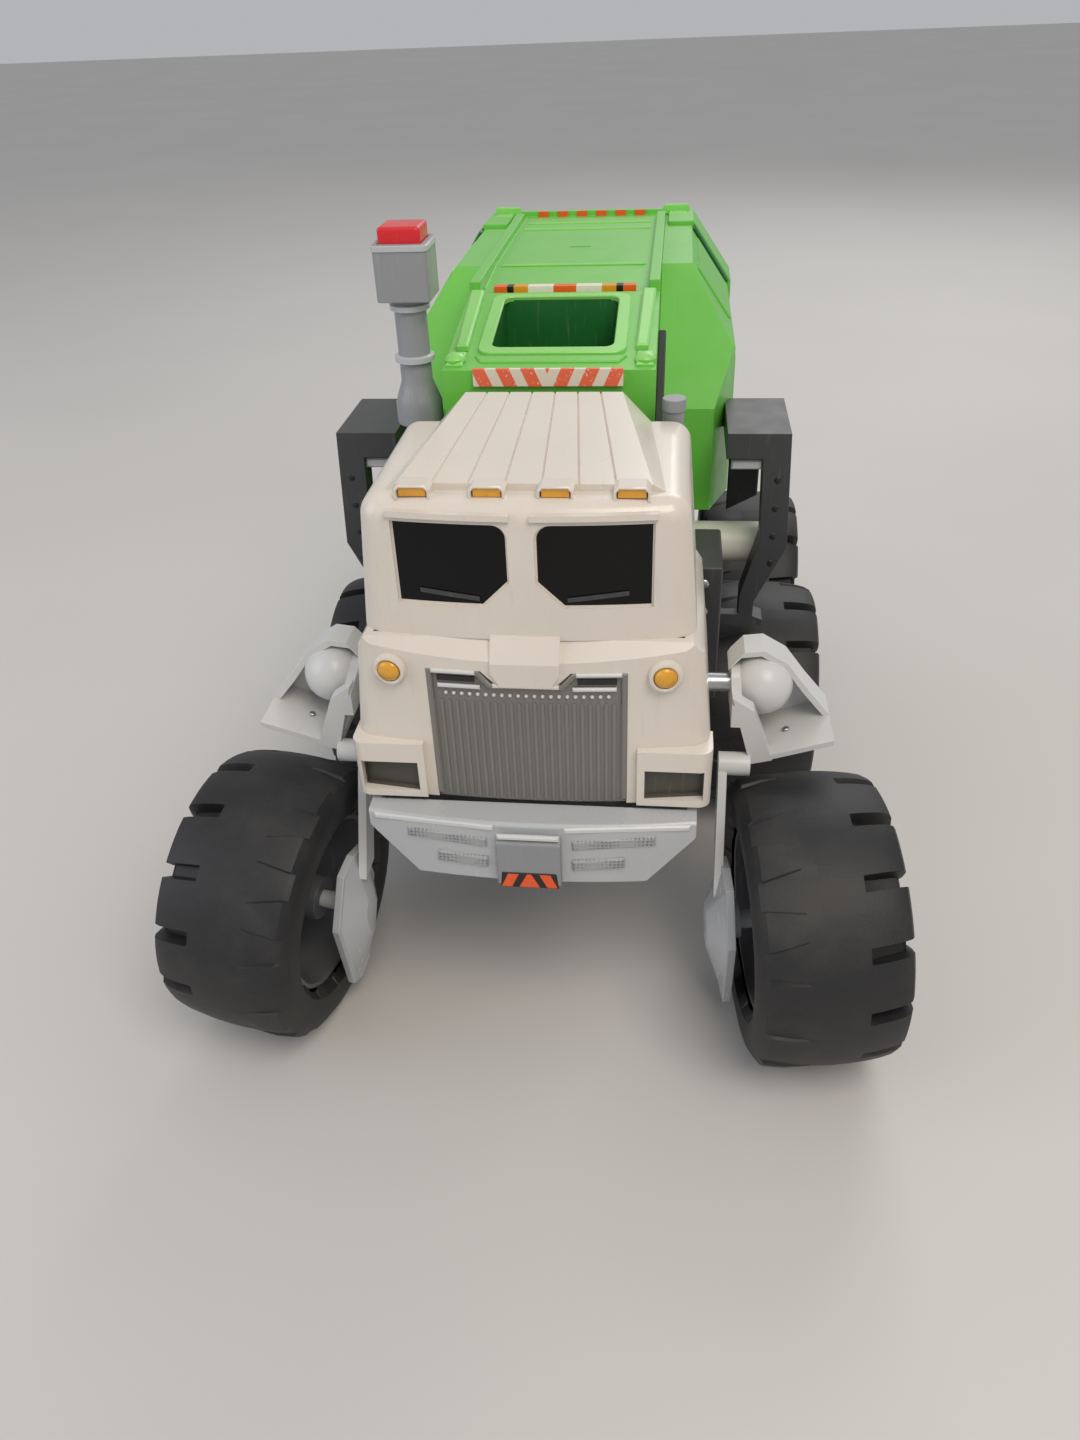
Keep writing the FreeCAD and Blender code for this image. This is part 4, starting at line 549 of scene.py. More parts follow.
for side in (1, -1):
    for drop in RIVET_DROPS:
        rivets.append(set_at(dome(RIVET_R, RIVET_H), (side * RIVET_OUT, cheek_low[1], cheek_high[2] - drop),
                             X, Z))
    for drop in DOT_DROPS:
        dots.append(set_at(dome(DOT_R, DOT_H), (side * DOT_OUT, hip_low[1] + 0.1, hip_high[2] - drop),
                           X, Z))
    highlight_bars.append(set_at(bar, (side * HIGHLIGHT_BAR_OUT, hip_low[1] + HIGHLIGHT_BAR_BACK, highlight_z), X, Z))
    hollow = slab(mirrored(HOLLOW_SHADE, side), HOLLOW_BACK, HOLLOW_FRONT, 0.6)
    hollow_shades.append(set_at(hollow, (0, 0, 0), X, Z))
build("cheek_rivets", rivets, steel, "chassis")
# Black plates in the hoops' openings: painted shade.
build("hip_hollow_shades", hollow_shades, black_abs, "chassis")
build("hip_dots", dots, black_abs, "chassis")
# Silver bars on the dark hoops: painted highlight.
build("hip_highlight_bars", highlight_bars, bright_abs, "chassis")

# ---- Hopper ----------------------------------------------------------------------------------
# The loading box at the front of the hull: green ABS with a raised frame round its mouth, a dark chute,
# round bosses at the front corners, a striped foil strip on the front edge and a black strut each side.
HOPPER_RISE = 13.0
MOUTH_HALF = 26
MOUTH_CORNER = 4.0
LINER_LIP = 2
FRAME_W = 5.5
FRAME_BACK_W = 3.5
FRAME_CORNER = 6.0
STEP_HALF_FRONT, STEP_HALF_BACK = 29, 32
STEP_FROM, STEP_TO = 6.5, 1.0
RIB = ((35.5, 17), (40.5, 17), (42.5, 74), (36.5, 74))
RIB_HEAD = ((36, 3), (43.2, 3), (43.2, 15), (36, 15))
BOSS_AT = (39.6, 8, 1.0)
BOSS_R, BOSS_H = 4.4, 2.6
# How deep each piece is rooted in the top, and how high it stands.
FRAME_Z = (-0.6, 1.6)
STEP_Z = (-0.5, 0.9)
RIB_Z = (-0.4, 3.2)
RIB_HEAD_Z = (-0.4, 1.4)
STRIPE_PITCH = 10.3
STRIPE_SHARE = 0.55
STRIPE_SLANT = 0.45
STRIPE_START = 12.2


def rounded(low, high, radius, step_shades=5):
    """Counter-clockwise rectangle with round corners: at each corner, a quarter circle of points."""
    (x0, y0), (x1, y1) = low, high
    centres = np.array([(x1 - radius, y1 - radius), (x0 + radius, y1 - radius), (x0 + radius, y0 + radius),
                        (x1 - radius, y0 + radius)])
    turn = np.linspace(0, math.pi / 2, step_shades)[None, :] + (np.arange(4) * math.pi / 2)[:, None]
    return (centres[:, None, :] + radius * np.stack([np.cos(turn), np.sin(turn)], -1)).reshape(-1, 2)


def frame_ring(outer, inner, low, high, edge=0.4):
    """Points and faces of a raised frame between two outlines with the same number of points."""
    rings = [(outer, low), (outer, high - edge), (inset(outer, edge), high), (inset(inner, -edge), high),
             (inner, high - edge), (inner, low)]
    points = np.concatenate([np.column_stack([ring, np.full(len(ring), height)]) for ring, height in rings])
    return points, grid_faces(len(rings), len(outer), close_rows=True, close_columns=True).tolist()


def striped_foil():
    """Printed PVC foil: cream, with slanting orange bars that lean to the middle from both sides. The
    print is rubbed off in specks about a millimetre wide."""
    material, tree = new_material("printed_foil")
    place = put(tree, "ShaderNodeTexCoord").outputs["Object"]
    axes = put(tree, "ShaderNodeSeparateXYZ", {0: place})
    across = put(tree, "ShaderNodeMath", {0: axes.outputs[0]}, operation="ABSOLUTE").outputs[0]
    lean = put(tree, "ShaderNodeMath", {0: axes.outputs[2], 1: -STRIPE_SLANT, 2: across},
               operation="MULTIPLY_ADD").outputs[0]
    turns = put(tree, "ShaderNodeMath", {0: lean, 1: STRIPE_PITCH * MM}, operation="DIVIDE").outputs[0]
    shifted = put(tree, "ShaderNodeMath", {0: turns, 1: STRIPE_START}, operation="ADD").outputs[0]
    share = put(tree, "ShaderNodeMath", {0: shifted}, operation="FRACT").outputs[0]
    printed = put(tree, "ShaderNodeMath", {0: share, 1: STRIPE_SHARE}, operation="LESS_THAN").outputs[0]
    speckle = put(tree, "ShaderNodeTexNoise", {"Vector": place, "Scale": cells(1.11),
                                               "Detail": 4.0}).outputs["Fac"]
    worn = put(tree, "ShaderNodeMapRange", {"Value": speckle, "From Min": 0.62, "From Max": 0.7}).outputs[0]
    kept = put(tree, "ShaderNodeMath", {0: printed, 1: worn}, operation="SUBTRACT",
               use_clamp=True).outputs[0]
    tone = put(tree, "ShaderNodeMix", {0: kept, 6: linear("#E9DDCB"), 7: linear("#F46E4C")},
               data_type="RGBA").outputs[2]
    rough = put(tree, "ShaderNodeMapRange", {"Value": speckle, "To Min": 0.28, "To Max": 0.5}).outputs[0]
    bump = put(tree, "ShaderNodeBump", {"Height": speckle, "Strength": 0.05, "Distance": 0.0002})
    shader = put(tree, "ShaderNodeBsdfPrincipled", {"Base Color": tone, "Roughness": rough,
                                                    "Normal": bump.outputs[0]})
    put(tree, "ShaderNodeOutputMaterial", {"Surface": shader.outputs[0]})
    return material


green_abs = moulded_abs("lime_green_abs", "#6CC648", 0.33, scuffs=0.16, dust=0.22)
pale_green_abs = moulded_abs("pale_green_abs", "#8AD768", 0.28, scuffs=0.14, dust=0.2)
# Dark green, used for the chute, the bin floor and the roof slot, and as painted shade on the chamfer
# strips in front of the tail frame.
dark_green_and_painted_shade = moulded_abs("dark_green_and_painted_shade", "#1C6B2C", 0.40, scuffs=0.12, dust=0.05)
moulded_from("hopper_housing", "hopper_box", green_abs, 0.8)
finish_node("hopper_liner", dark_green_and_painted_shade)
finish_node("bin_floor", dark_green_and_painted_shade)
finish_node("hazard_lip", striped_foil())
moulded_from("side_struts", "hopper_struts", black_abs, 0.6)
hopper_low, hopper_high = span("hopper_housing")
liner_low, liner_high = span("hopper_liner")
slope = np.array([0, hopper_high[1] - hopper_low[1], HOPPER_RISE])
slope = slope / np.linalg.norm(slope)
run_to = np.array([0, hopper_low[1], hopper_high[2] - HOPPER_RISE])


def on_top(shape):
    """A shape drawn flat, with its second axis running back, laid on the hopper's sloping top."""
    return set_at(shape, run_to, X, slope)


mouth_from = (liner_low[1] + LINER_LIP - hopper_low[1]) / slope[1]
mouth_to = (liner_high[1] - LINER_LIP - hopper_low[1]) / slope[1]
mouth = rounded((-MOUTH_HALF, mouth_from), (MOUTH_HALF, mouth_to), MOUTH_CORNER)
frame_from = mouth_from - FRAME_W
frame_to = mouth_to + FRAME_BACK_W
frame_outline = rounded((-MOUTH_HALF - FRAME_W, frame_from), (MOUTH_HALF + FRAME_W, frame_to), FRAME_CORNER)
build("mouth_frame", [on_top(frame_ring(frame_outline, mouth, *FRAME_Z))], pale_green_abs, "chassis")
step = slab([(-STEP_HALF_FRONT, frame_from - STEP_FROM), (STEP_HALF_FRONT, frame_from - STEP_FROM),
             (STEP_HALF_BACK, frame_from - STEP_TO), (-STEP_HALF_BACK, frame_from - STEP_TO)], *STEP_Z, 0.5)
build("mouth_step", [on_top(step)], green_abs, "chassis")
ribs, bosses = [], []
for side in (1, -1):
    ribs.append(on_top(slab(mirrored(RIB, side), *RIB_Z, 0.8)))
    ribs.append(on_top(slab(mirrored(RIB_HEAD, side), *RIB_HEAD_Z, 0.6)))
    bosses.append(on_top(set_at(dome(BOSS_R, BOSS_H), np.array(BOSS_AT) * (side, 1, 1), X, Y)))
build("hopper_ribs", ribs, pale_green_abs, "chassis")
build("hopper_bosses", bosses, pale_green_abs, "chassis")

# ---- Hull ------------------------------------------------------------------------------------
# Two side armours and a roof of green ABS, clipped over the tub. Behind, a tail frame stands proud of
# the skin, with painted shade as a dark green strip on each chamfer; the roof carries rails, a lamp strip
# and a marked rear lip.
HULL_SECTION = ((80.5, 182.0), (80.5, 251.0), (59.0, 282.0), (46.0, 282.0))
HULL_LIFT = ((0.9, 0), (0.9, 0.4), (0.3, 0.9), (0, 0.9))
TAIL_FROM = 168.0
TAIL_TO = 204.6
TAIL_PROUD = 2.6
# Line, lift and run of the dark green strip laid on each chamfer as painted shade.
STEP_LINE = ((80.0, 252.5), (60.0, 281.5))
STEP_LIFT = (0.5, 0.4)
STEP_RUN = 9
STEP_T = 1.6
PANEL_PROUD = 1.4
PANEL_FLAT = ((80.6, 190.0), (80.6, 244.0))
PANEL_CHAMFER = ((79.0, 253.7), (62.0, 278.2))
PANELS = ((PANEL_CHAMFER, 76, 150), (PANEL_FLAT, 44, 96), (PANEL_FLAT, 102, 160))
TAIL_PLATES = ((((41.5, 282.2), (59, 282.2), (57, 287.4), (43, 287.4)), 201.0, 204.6),
               (((45.5, 282.0), (57.0, 282.0), (56.0, 284.4), (46.5, 284.4)), 190.0, 201.2))
SPINE_OUT = 42.8
SPINE_T = 2.2
SPINE_CORNERS = ((20.6, 239.6), (69.0, 280.4), (20.6, 277.6))
ROOF_SLOT = ((-5.3, 0.2), (5.3, 0.2), (5.3, 2.4), (-5.3, 2.4))
ROOF_SLOT_Z = 281.0
ROOF_SLOT_H = 0.5
RIDGE_HALF = 36
RIDGE_W = 2.2
RIDGE_Z = (281.6, 282.7)
FIRST_RIDGE = 48
REAR_RIDGES = (160.0, 178.0)
STRIP_HALF = 33
LAMP_TONES = ("#F0641E", "#141414", "#E89A1E", "#EDE6D6", "#F0641E", "#EDE6D6", "#E89A1E", "#141414",
              "#F0641E")
LAMP_SHARES = (0.0, 0.09, 0.14, 0.24, 0.42, 0.58, 0.76, 0.86, 0.91)


def lamp_strip():
    """Glossy printed PVC strip: blocks of colour along its length, dulled by scratches 1.4 mm apart."""
    material, tree = new_material("lamp_strip_pvc")
    place = put(tree, "ShaderNodeTexCoord").outputs["Object"]
    along = put(tree, "ShaderNodeSeparateXYZ", {0: place}).outputs[0]
    share = put(tree, "ShaderNodeMapRange", {"Value": along, "From Min": -STRIP_HALF * MM,
                                             "From Max": STRIP_HALF * MM}).outputs[0]
    ramp = put(tree, "ShaderNodeValToRGB", {0: share})
    ramp.color_ramp.interpolation = "CONSTANT"
    for _ in LAMP_TONES[2:]:
        ramp.color_ramp.elements.new(0.5)
    for stop, where, tone in zip(ramp.color_ramp.elements, LAMP_SHARES, LAMP_TONES):
        stop.position = where
        stop.color = linear(tone)
    speckle = put(tree, "ShaderNodeTexNoise", {"Vector": place, "Scale": cells(1.43),
                                               "Detail": 4.0}).outputs["Fac"]
    rough = put(tree, "ShaderNodeMapRange", {"Value": speckle, "To Min": 0.18, "To Max": 0.42}).outputs[0]
    bump = put(tree, "ShaderNodeBump", {"Height": speckle, "Strength": 0.06, "Distance": 0.0002})
    shader = put(tree, "ShaderNodeBsdfPrincipled", {"Base Color": ramp.outputs[0], "Roughness": rough,
                                                    "Normal": bump.outputs[0]})
    put(tree, "ShaderNodeOutputMaterial", {"Surface": shader.outputs[0]})
    return material


def along_hull(outline, start, end, edge=0.5):
    """A cross-section outline run along the hull between two stations."""
    return set_at(slab(outline, -end, -start, edge), (0, 0, 0), X, Z)


orange_abs = moulded_abs("orange_abs", "#EE5A1E", 0.28, scuffs=0.1)
moulded_from("hull_roof", "roof", green_abs, 0.7)
finish_node("light_bar", lamp_strip())
finish_node("tail_markers", orange_abs)
tail, step_shades, plates, panels = [], [], [], []
for side, word in ((1, "left"), (-1, "right")):
    moulded_from(f"hull_side_{word}", f"armour_{word}", green_abs, 0.9)
    skin = mirrored(HULL_SECTION, side) + mirrored(HULL_LIFT, side)
    tail.append(along_hull(band(skin, TAIL_PROUD), TAIL_FROM, TAIL_TO))
    chamfer = mirrored(STEP_LINE, side) + mirrored(STEP_LIFT, side)
    step_shades.append(along_hull(band(chamfer, STEP_T), TAIL_FROM - STEP_RUN, TAIL_FROM + 0.4))
    for line, start, end in PANELS:
        panels.append(along_hull(band(mirrored(line, side), PANEL_PROUD), start, end))
    for outline, start, end in TAIL_PLATES:
        plates.append(along_hull(mirrored(outline, side), start, end))
build("tail_frame", tail, green_abs, "chassis")
# Dark green strips on the chamfers: painted shade.
build("tail_step_shades", step_shades, dark_green_and_painted_shade, "chassis")
build("tail_plates", plates, pale_green_abs, "chassis")
build("armour_panels", panels, green_abs, "chassis")
walls = []
for side in (1, -1):
    start = side * SPINE_OUT - SPINE_T / 2
    walls.append(set_at(slab(SPINE_CORNERS, start, start + SPINE_T, 0.3), (0, 0, 0), Y, Z))
build("spine_walls", walls, green_abs, "chassis")
roof_low, roof_high = span("hull_roof")
slot_at = (0, (roof_low[1] + roof_high[1]) / 2, ROOF_SLOT_Z)
build("roof_slot", [set_at(slab(ROOF_SLOT, 0, ROOF_SLOT_H, 0.1), slot_at, X, Y)], dark_green_and_painted_shade, "chassis")
ridges = []
for y in (roof_low[1] + FIRST_RIDGE, *REAR_RIDGES):
    foot = [(-RIDGE_HALF, y), (RIDGE_HALF, y), (RIDGE_HALF, y + RIDGE_W), (-RIDGE_HALF, y + RIDGE_W)]
    ridges.append(set_at(slab(foot, *RIDGE_Z, 0.4), (0, 0, 0), X, Y))
build("roof_ridges", ridges, pale_green_abs, "chassis")

# ---- Tailgate --------------------------------------------------------------------------------
# A green ABS door, moulded in one piece with five upright ribs and a grip. It hangs from a hinge rod
# under the roof's rear lip and closes the hull from behind.
moulded_from("tailgate", "rear_door", green_abs, 0.9)

# ---- Stack, button and stub ------------------------------------------------------------------
# A grey exhaust pipe with a box on top, whose red button starts the sounds, and a short capped stub on
# the other side. All three are ABS; the button slides in the box on a spring.
RIM_HALF, RIM_CORNER = 11.4, 2.2
RIM_HOLE_HALF, RIM_HOLE_CORNER = 10.6, 1.6
RIM_H = 2.4
RIM_SUNK = 2.6
CLIP_PROFILE = ((6.6, 0), (8.4, 0.5), (8.4, 2.6), (6.6, 3.1))
CLIP_DROPS = (5.0, 26.0)
red_abs = moulded_abs("red_abs", "#D8242C", 0.26, scuffs=0.14, dust=0.1)
pipe_abs = moulded_abs("pipe_grey_abs", "#8E9194", 0.34, scuffs=0.25)
moulded_from("stack_pipe", "exhaust_pipe", pipe_abs, 0.5)
moulded_from("stack_box", "exhaust_box", pipe_abs, 0.8)
moulded_from("stack_button", "sound_button", red_abs, 1.2)
moulded_from("stub_pipe", "capped_stub", pipe_abs, 0.7)
box_low, box_high = span("stack_box")
middle = (box_low + box_high) / 2
rim_square = rounded((-RIM_HALF, -RIM_HALF), (RIM_HALF, RIM_HALF), RIM_CORNER)
hole_square = rounded((-RIM_HOLE_HALF, -RIM_HOLE_HALF), (RIM_HOLE_HALF, RIM_HOLE_HALF), RIM_HOLE_CORNER)
build("box_rim", [set_at(frame_ring(rim_square, hole_square, 0, RIM_H, 0.5),
                         (middle[0], middle[1], box_high[2] - RIM_SUNK), X, Y)], bright_abs, "chassis")
pipe_low, pipe_high = span("stack_pipe")
pipe_x, pipe_y = (pipe_low[0] + pipe_high[0]) / 2, (pipe_low[1] + pipe_high[1]) / 2
clip = turned(CLIP_PROFILE, 40)
clips = [set_at(clip, (pipe_x, pipe_y, pipe_high[2] - drop), X, Y) for drop in CLIP_DROPS]
build("pipe_clips", clips, bright_abs, "chassis", crease=40)

# ---- Cab -------------------------------------------------------------------------------------
# Glossy cream ABS shell that nods on the shoulder shaft, with black window panes, a ribbed grille panel,
# amber lamps, corner vents and a roof deflector pressed into it.
FRONT_Y = -163.0
FRONT_BOW = 6.0
FRONT_HALF = 71.0
SURROUND = ((-37.0, 129.0), (-37.0, 186.9), (-18.2, 186.9), (-13.8, 181.6), (13.8, 181.6), (18.2, 186.9),
            (37.0, 186.9), (37.0, 129.0))
SURROUND_W = 2.2
SHELVES = (((-36, 187.4), (-19, 187.4)), ((-12.6, 182.0), (12.6, 182.0)), ((19, 187.4), (36, 187.4)))
SHELF_W = 1.7
SLOT_LINE = ((19.5, 184.0), (34.0, 184.0))
SLOT_W = 2.4
LIGHT_LINE = ((17.5, 180.8), (34.0, 180.8))
LIGHT_W = 1.7
# How far each piece is sunk in the front, and how far it stands out.
SURROUND_OUT = (-1.2, 0.5)
SHELF_OUT = (-0.8, 1.1)
SLOT_OUT = (-1.0, -0.3)
LIGHT_OUT = (-1.0, 0.5)
STUDS_ACROSS = 21
STUD_REACH = 31.0
STUD_Z = 177.4
STUD_R, STUD_H, STUD_SUNK = 0.75, 1.2, 0.8
LAMP_X = 52.0
LAMP_Z = 187.0
LENS_PROFILE = ((0.01, -3.0), (4.4, -3.0), (4.4, 2.2), (4.1, 3.1), (3.2, 3.9), (1.8, 4.4), (0.01, 4.5))
RING_PROFILE = ((4.6, 1.2), (6.4, 0.0), (6.6, 1.4), (5.9, 3.1), (5.1, 3.3), (4.6, 2.9))
HOOD_XS = (-38.5, -12.0, 12.0, 38.5)
HOOD_ARCH = ((-5.9, 250.8), (-5.9, 254.4), (-4.6, 255.9), (4.6, 255.9), (5.9, 254.4), (5.9, 250.8))
HOOD_BACK, HOOD_FRONT = 143.5, 151.8
DUCT_FROM, DUCT_TO = 45.1, 67.9
DUCT_LOW, DUCT_TOP = 131.1, 144.9
DUCT_DEPTH = (2.4, 0.15)


def glossy_black():
    """Tinted polystyrene pane: black and polished, with faint swirl scratches and a few dust specks, which
    are drawn 0.7 mm wide so that they show."""
    material, tree = new_material("tinted_polystyrene")
    place = put(tree, "ShaderNodeTexCoord").outputs["Object"]
    swirl = put(tree, "ShaderNodeTexNoise", {"Vector": place, "Scale": cells(6.25), "Detail": 6.0,
                                             "Distortion": 2.0}).outputs["Fac"]
    specks = put(tree, "ShaderNodeTexNoise", {"Vector": place, "Scale": cells(0.714)}).outputs["Fac"]
    speck = put(tree, "ShaderNodeMapRange", {"Value": specks, "From Min": 0.74, "From Max": 0.78,
                                             "To Max": 0.5}).outputs[0]
    tone = put(tree, "ShaderNodeMix", {0: speck, 6: linear("#050507"), 7: linear("#3A3732")},
               data_type="RGBA").outputs[2]
    rough = put(tree, "ShaderNodeMapRange", {"Value": swirl, "To Min": 0.06, "To Max": 0.20}).outputs[0]
    bump = put(tree, "ShaderNodeBump", {"Height": swirl, "Strength": 0.03, "Distance": 0.0002})
    shader = put(tree, "ShaderNodeBsdfPrincipled", {"Base Color": tone, "Roughness": rough,
                                                    "Specular IOR Level": 0.25, "Normal": bump.outputs[0]})
    put(tree, "ShaderNodeOutputMaterial", {"Surface": shader.outputs[0]})
    return material


def amber_lens():
    """Amber polystyrene lens: deep in the middle of each facet, paler where the facets meet."""
    material, tree = new_material("amber_polystyrene")
    place = put(tree, "ShaderNodeTexCoord").outputs["Object"]
    facets = put(tree, "ShaderNodeTexVoronoi", {"Vector": place, "Scale": cells(2.38)}).outputs["Distance"]
    drift = put(tree, "ShaderNodeTexNoise", {"Vector": place, "Scale": cells(7.69),
                                             "Detail": 3.0}).outputs["Fac"]
    deep = put(tree, "ShaderNodeMix", {0: drift, 6: linear("#C4800F"), 7: linear("#E6B832")},
               data_type="RGBA").outputs[2]
    tone = put(tree, "ShaderNodeMix", {0: facets, 6: linear("#E8A028"), 7: deep},
               data_type="RGBA").outputs[2]
    rough = put(tree, "ShaderNodeMapRange", {"Value": drift, "To Min": 0.14, "To Max": 0.34}).outputs[0]
    bump = put(tree, "ShaderNodeBump", {"Height": facets, "Strength": 0.25, "Distance": 0.0004})
    shader = put(tree, "ShaderNodeBsdfPrincipled", {"Base Color": tone, "Roughness": rough,
                                                    "Coat Weight": 0.6, "Coat Roughness": 0.08,
                                                    "Normal": bump.outputs[0]})
    put(tree, "ShaderNodeOutputMaterial", {"Surface": shader.outputs[0]})
    return material


def on_front(shape):
    """A shape drawn in X and Z with its height outwards, bent onto the cab's front: a parabola that falls
    back by the bow over half the cab's width."""
    points, faces = shape
    away = FRONT_Y + FRONT_BOW * (points[:, 0] / FRONT_HALF) ** 2
    return np.stack([points[:, 0], away - points[:, 2], points[:, 1]], -1), faces


cream_abs = moulded_abs("cream_abs", "#DDD5CA", 0.20, grain=0.05, scuffs=0.16, dust=0.10)
amber = amber_lens()
panel_abs = moulded_abs("grille_grey_abs", "#7B7873", 0.32, scuffs=0.12)
# Dark grey for the linings of the corner vents: painted shade in their recesses.
vent_painted_shade_abs = moulded_abs("vent_painted_shade_grey", "#4A4740", 0.45, scuffs=0.1)
moulded_from("cab_shell", "cab_moulding", cream_abs, 0.55)
finish_node("window_panes", glossy_black())
moulded_from("wipers", "wiper_arms", dark_abs, 0.15)
moulded_from("grille", "grille_panel", panel_abs, 0.15)
moulded_from("roof_lamps", "roof_lenses", amber, 0.5)
moulded_from("corner_vents", "corner_ducts", cream_abs, 0.5)
moulded_from("roof_deflector", "wind_deflector", cream_abs, 0.5)
finish_node("headlamp_lenses", amber)

build("grille_surround", [on_front(slab(band(SURROUND, SURROUND_W), *SURROUND_OUT, 0.5))], panel_abs, "cab")
shelves = [on_front(slab(band(line, SHELF_W), *SHELF_OUT, 0.5)) for line in SHELVES]
build("grille_shelves", shelves, light_abs, "cab")
slots, lights, lenses, rings = [], [], [], []
for side in (1, -1):
    lamp_at = (side * LAMP_X, LAMP_Z, 0)
    slots.append(on_front(slab(band(mirrored(SLOT_LINE, side), SLOT_W), *SLOT_OUT, 0.15)))
    lights.append(on_front(slab(band(mirrored(LIGHT_LINE, side), LIGHT_W), *LIGHT_OUT, 0.5)))
    lenses.append(on_front(set_at(turned(LENS_PROFILE, 40), lamp_at, X, Y)))
    rings.append(on_front(set_at(turned(RING_PROFILE, 40), lamp_at, X, Y)))
build("grille_slots", slots, black_abs, "cab")
build("grille_lights", lights, light_abs, "cab")
stud_xs = np.linspace(-STUD_REACH, STUD_REACH, STUDS_ACROSS)
studs = [on_front(set_at(dome(STUD_R, STUD_H), (x, STUD_Z, -STUD_SUNK), X, Y)) for x in stud_xs]
build("grille_studs", studs, light_abs, "cab")
build("headlamp_domes", lenses, amber, "cab", crease=50)
build("headlamp_rings", rings, cream_abs, "cab", crease=50)
hoods = []
for x in HOOD_XS:
    arch = band([(x + across, z) for across, z in HOOD_ARCH], 1.0)
    points, faces = slab(arch, HOOD_BACK, HOOD_FRONT, 0.35)
    hoods.append((np.stack([points[:, 0], -points[:, 2], points[:, 1]], -1), faces))
build("roof_hoods", hoods, cream_abs, "cab")


def tray(outline, front, back, wall=0.35):
    """Points and faces of a thin-walled tray, open towards the front height."""
    loop = np.asarray(outline, float)
    rings = [(loop, back), (loop, front), (inset(loop, wall), front), (inset(loop, wall), back + wall)]
    points = np.concatenate([np.column_stack([ring, np.full(len(ring), height)]) for ring, height in rings])
    count = len(loop)
    faces = grid_faces(4, count, close_columns=True).tolist()
    return points, faces + [list(range(count))[::-1], list(range(3 * count, 4 * count))]


# A thin dark grey tray inside each corner vent: painted shade in the recess.
duct_shades = []
for side in (1, -1):
    low, high = sorted((side * DUCT_FROM, side * DUCT_TO))
    hole = [(low, DUCT_LOW), (high, DUCT_LOW), (high, DUCT_TOP), (low, DUCT_TOP)]
    duct_shades.append(on_front(tray(hole, *DUCT_DEPTH)))
build("duct_shade_linings", duct_shades, vent_painted_shade_abs, "cab")

# ---- Jaw bumper ------------------------------------------------------------------------------
# Satin silver ABS scoop hung under the cab on two short pins, with a ridge along its top, pairs of bars
# with dimpled faces either side, and a block in the middle that carries a small printed sign.
JAW_Y = -176.0
JAW_BOW = 6.0
JAW_HALF = 66.5
# Each bar's line on the left side, its width, how far it is sunk and stands out, and its chamfer.
JAW_RIDGE = (((14.0, 123.4), (63.5, 123.4)), 2.6, (-1.5, 1.0), 0.6)
UPPER_BAR = (((17.0, 115.6), (50.0, 117.4)), 5.0, (-1.2, 0.9), 0.8)
LOWER_BAR = (((17.0, 105.4), (38.0, 106.8)), 5.4, (-1.2, 1.2), 0.8)
BLOCK_RIDGE_LINE = ((-12.4, 121.4), (12.4, 121.4))
BLOCK_RIDGE_W, BLOCK_RIDGE_T = 2.4, 2.2
BLOCK_RIDGE_Y = -177.6
SIGN_TOP = 104.0
SIGN_LOW = 96.2
SIGN_PANEL = ((-11.8, SIGN_LOW), (11.8, SIGN_LOW), (11.0, SIGN_TOP), (-11.0, SIGN_TOP))
SIGN_T, SIGN_SUNK = 0.9, 0.6
MARK_LOW = SIGN_LOW + 0.5
MARK_TOP = SIGN_TOP - 0.6
MIDDLE_MARK = ((-4.2, MARK_LOW), (4.2, MARK_LOW), (0.9, MARK_TOP), (-0.9, MARK_TOP))
SIDE_MARK = ((7.2, MARK_LOW), (11.4, MARK_LOW), (8.6, MARK_TOP), (4.2, MARK_TOP))
MARK_T, MARK_PROUD = 0.3, 0.25


def jaw_front(shape):
    """A shape drawn in X and Z with its height outwards, bent onto the jaw's front: a parabola that falls
    back by the bow over half the jaw's width."""
    points, faces = shape
    away = JAW_Y + JAW_BOW * (points[:, 0] / JAW_HALF) ** 2
    return np.stack([points[:, 0], away - points[:, 2], points[:, 1]], -1), faces


def dimpled_abs():
    """Silver ABS with rows of dimples 1.6 mm apart moulded into it, and painted shade: dark in each hollow,
    pale between.
    """
    material, tree = new_material("dimpled_silver_abs")
    place = put(tree, "ShaderNodeTexCoord").outputs["Object"]
    dimples = put(tree, "ShaderNodeTexVoronoi", {"Vector": place, "Scale": cells(1.61),
                                                 "Randomness": 0.15}).outputs["Distance"]
    drift = put(tree, "ShaderNodeTexNoise", {"Vector": place, "Scale": cells(16.7),
                                             "Detail": 4.0}).outputs["Fac"]
    deep = put(tree, "ShaderNodeMapRange", {"Value": dimples, "From Min": 0.1, "From Max": 0.5}).outputs[0]
    # Painted shade: darker silver in each dimple's hollow, paler between.
    tone = put(tree, "ShaderNodeMix", {0: deep, 6: linear("#6E7072"), 7: linear("#A3A5A6")},
               data_type="RGBA").outputs[2]
    rough = put(tree, "ShaderNodeMapRange", {"Value": drift, "To Min": 0.3, "To Max": 0.5}).outputs[0]
    bump = put(tree, "ShaderNodeBump", {"Height": deep, "Strength": 0.6, "Distance": 0.0004})
    shader = put(tree, "ShaderNodeBsdfPrincipled", {"Base Color": tone, "Roughness": rough,
                                                    "Normal": bump.outputs[0]})
    put(tree, "ShaderNodeOutputMaterial", {"Surface": shader.outputs[0]})
    return material


moulded_from("bumper", "jaw_scoop", bright_abs, 0.7)
moulded_from("bumper_block", "jaw_block", pipe_abs, 0.7)


def jaw_bars(line, width, out, edge):
    """A straight bar on the jaw's front and its mirror image."""
    return [jaw_front(slab(band(mirrored(line, side), width), *out, edge)) for side in (1, -1)]


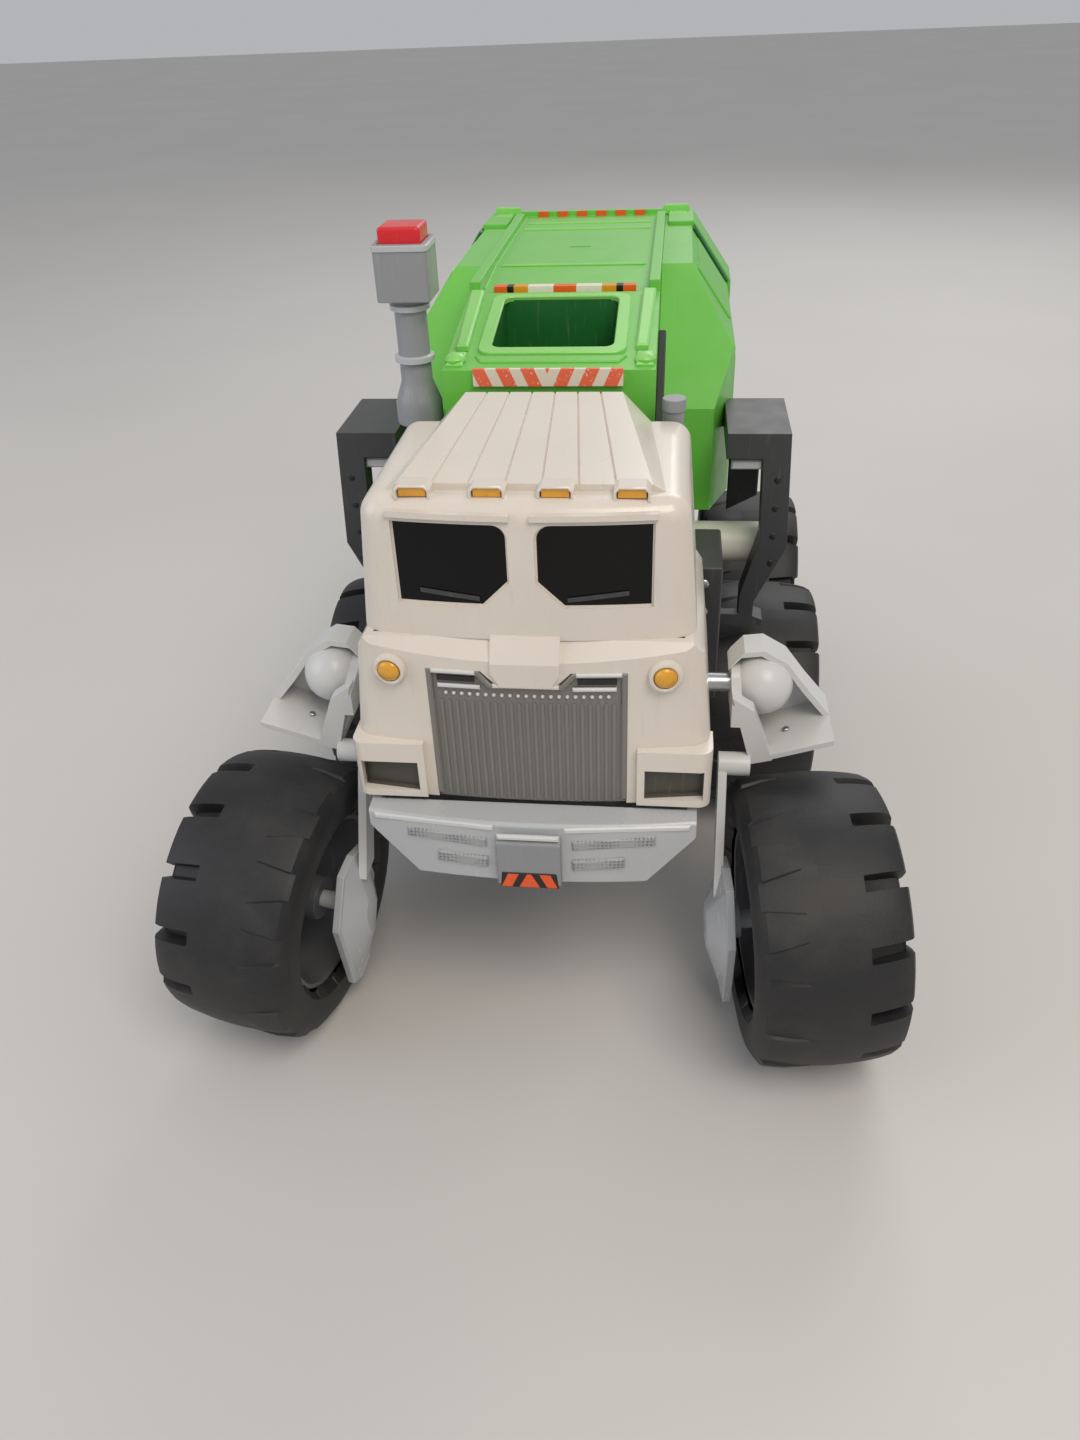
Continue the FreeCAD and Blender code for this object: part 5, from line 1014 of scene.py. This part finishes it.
build("jaw_ridges", jaw_bars(*JAW_RIDGE), light_abs, "jaw")
dimpled = dimpled_abs()
build("jaw_upper_bars", jaw_bars(*UPPER_BAR), dimpled, "jaw")
build("jaw_lower_bars", jaw_bars(*LOWER_BAR), dimpled, "jaw")
block_ridge = slab(band(BLOCK_RIDGE_LINE, BLOCK_RIDGE_W), 0, BLOCK_RIDGE_T, 0.7)
build("jaw_block_ridge", [set_at(block_ridge, (0, BLOCK_RIDGE_Y, 0), X, Z)], light_abs, "jaw")
block_low, _ = span("bumper_block")
sign_at = (0, block_low[1] + SIGN_SUNK, 0)
mark_at = (0, block_low[1] - MARK_PROUD, 0)
build("sign_panel", [set_at(slab(SIGN_PANEL, 0, SIGN_T, 0.2), sign_at, X, Z)], black_abs, "jaw")
marks = [MIDDLE_MARK, mirrored(SIDE_MARK, 1), mirrored(SIDE_MARK, -1)]
sign_bars = [set_at(slab(mark, 0, MARK_T, 0.08), mark_at, X, Z) for mark in marks]
build("sign_marks", sign_bars, orange_abs, "jaw")

# ---- Arms ------------------------------------------------------------------------------------
# Each arm turns on the end of the shoulder shaft: an arched armour over a ball, a thin link, and a
# faceted hub plate that carries the front wheel. Light grey ABS throughout, with small steel screws.
SOLE_SLOPE = (33.0, 0, 11.0)
SCREW_R = 1.5
SCREW_H = 0.7
SCREW_OUT = 103
SCREW_BACK = 15
SCREW_UP = 8.3
for word in ("left", "right"):
    side = 1 if word == "left" else -1
    moulded_from(f"fender_{word}", f"armour_arch_{word}", light_abs, 0.5)
    moulded_from(f"arm_link_{word}", f"link_bar_{word}", light_abs, 0.5)
    moulded_from(f"hub_plate_{word}", f"hub_blade_{word}", bright_abs, 0.5)
    low, _ = span(f"fender_{word}")
    sole = np.array(SOLE_SLOPE) * (side, 1, 1)
    sole = sole / np.linalg.norm(sole)
    place = (side * SCREW_OUT, low[1] + SCREW_BACK, low[2] + SCREW_UP)
    screw = set_at(dome(SCREW_R, SCREW_H), place, -side * Y, sole)
    build(f"arch_stud_{word}", [screw], steel, f"arm_{word}")
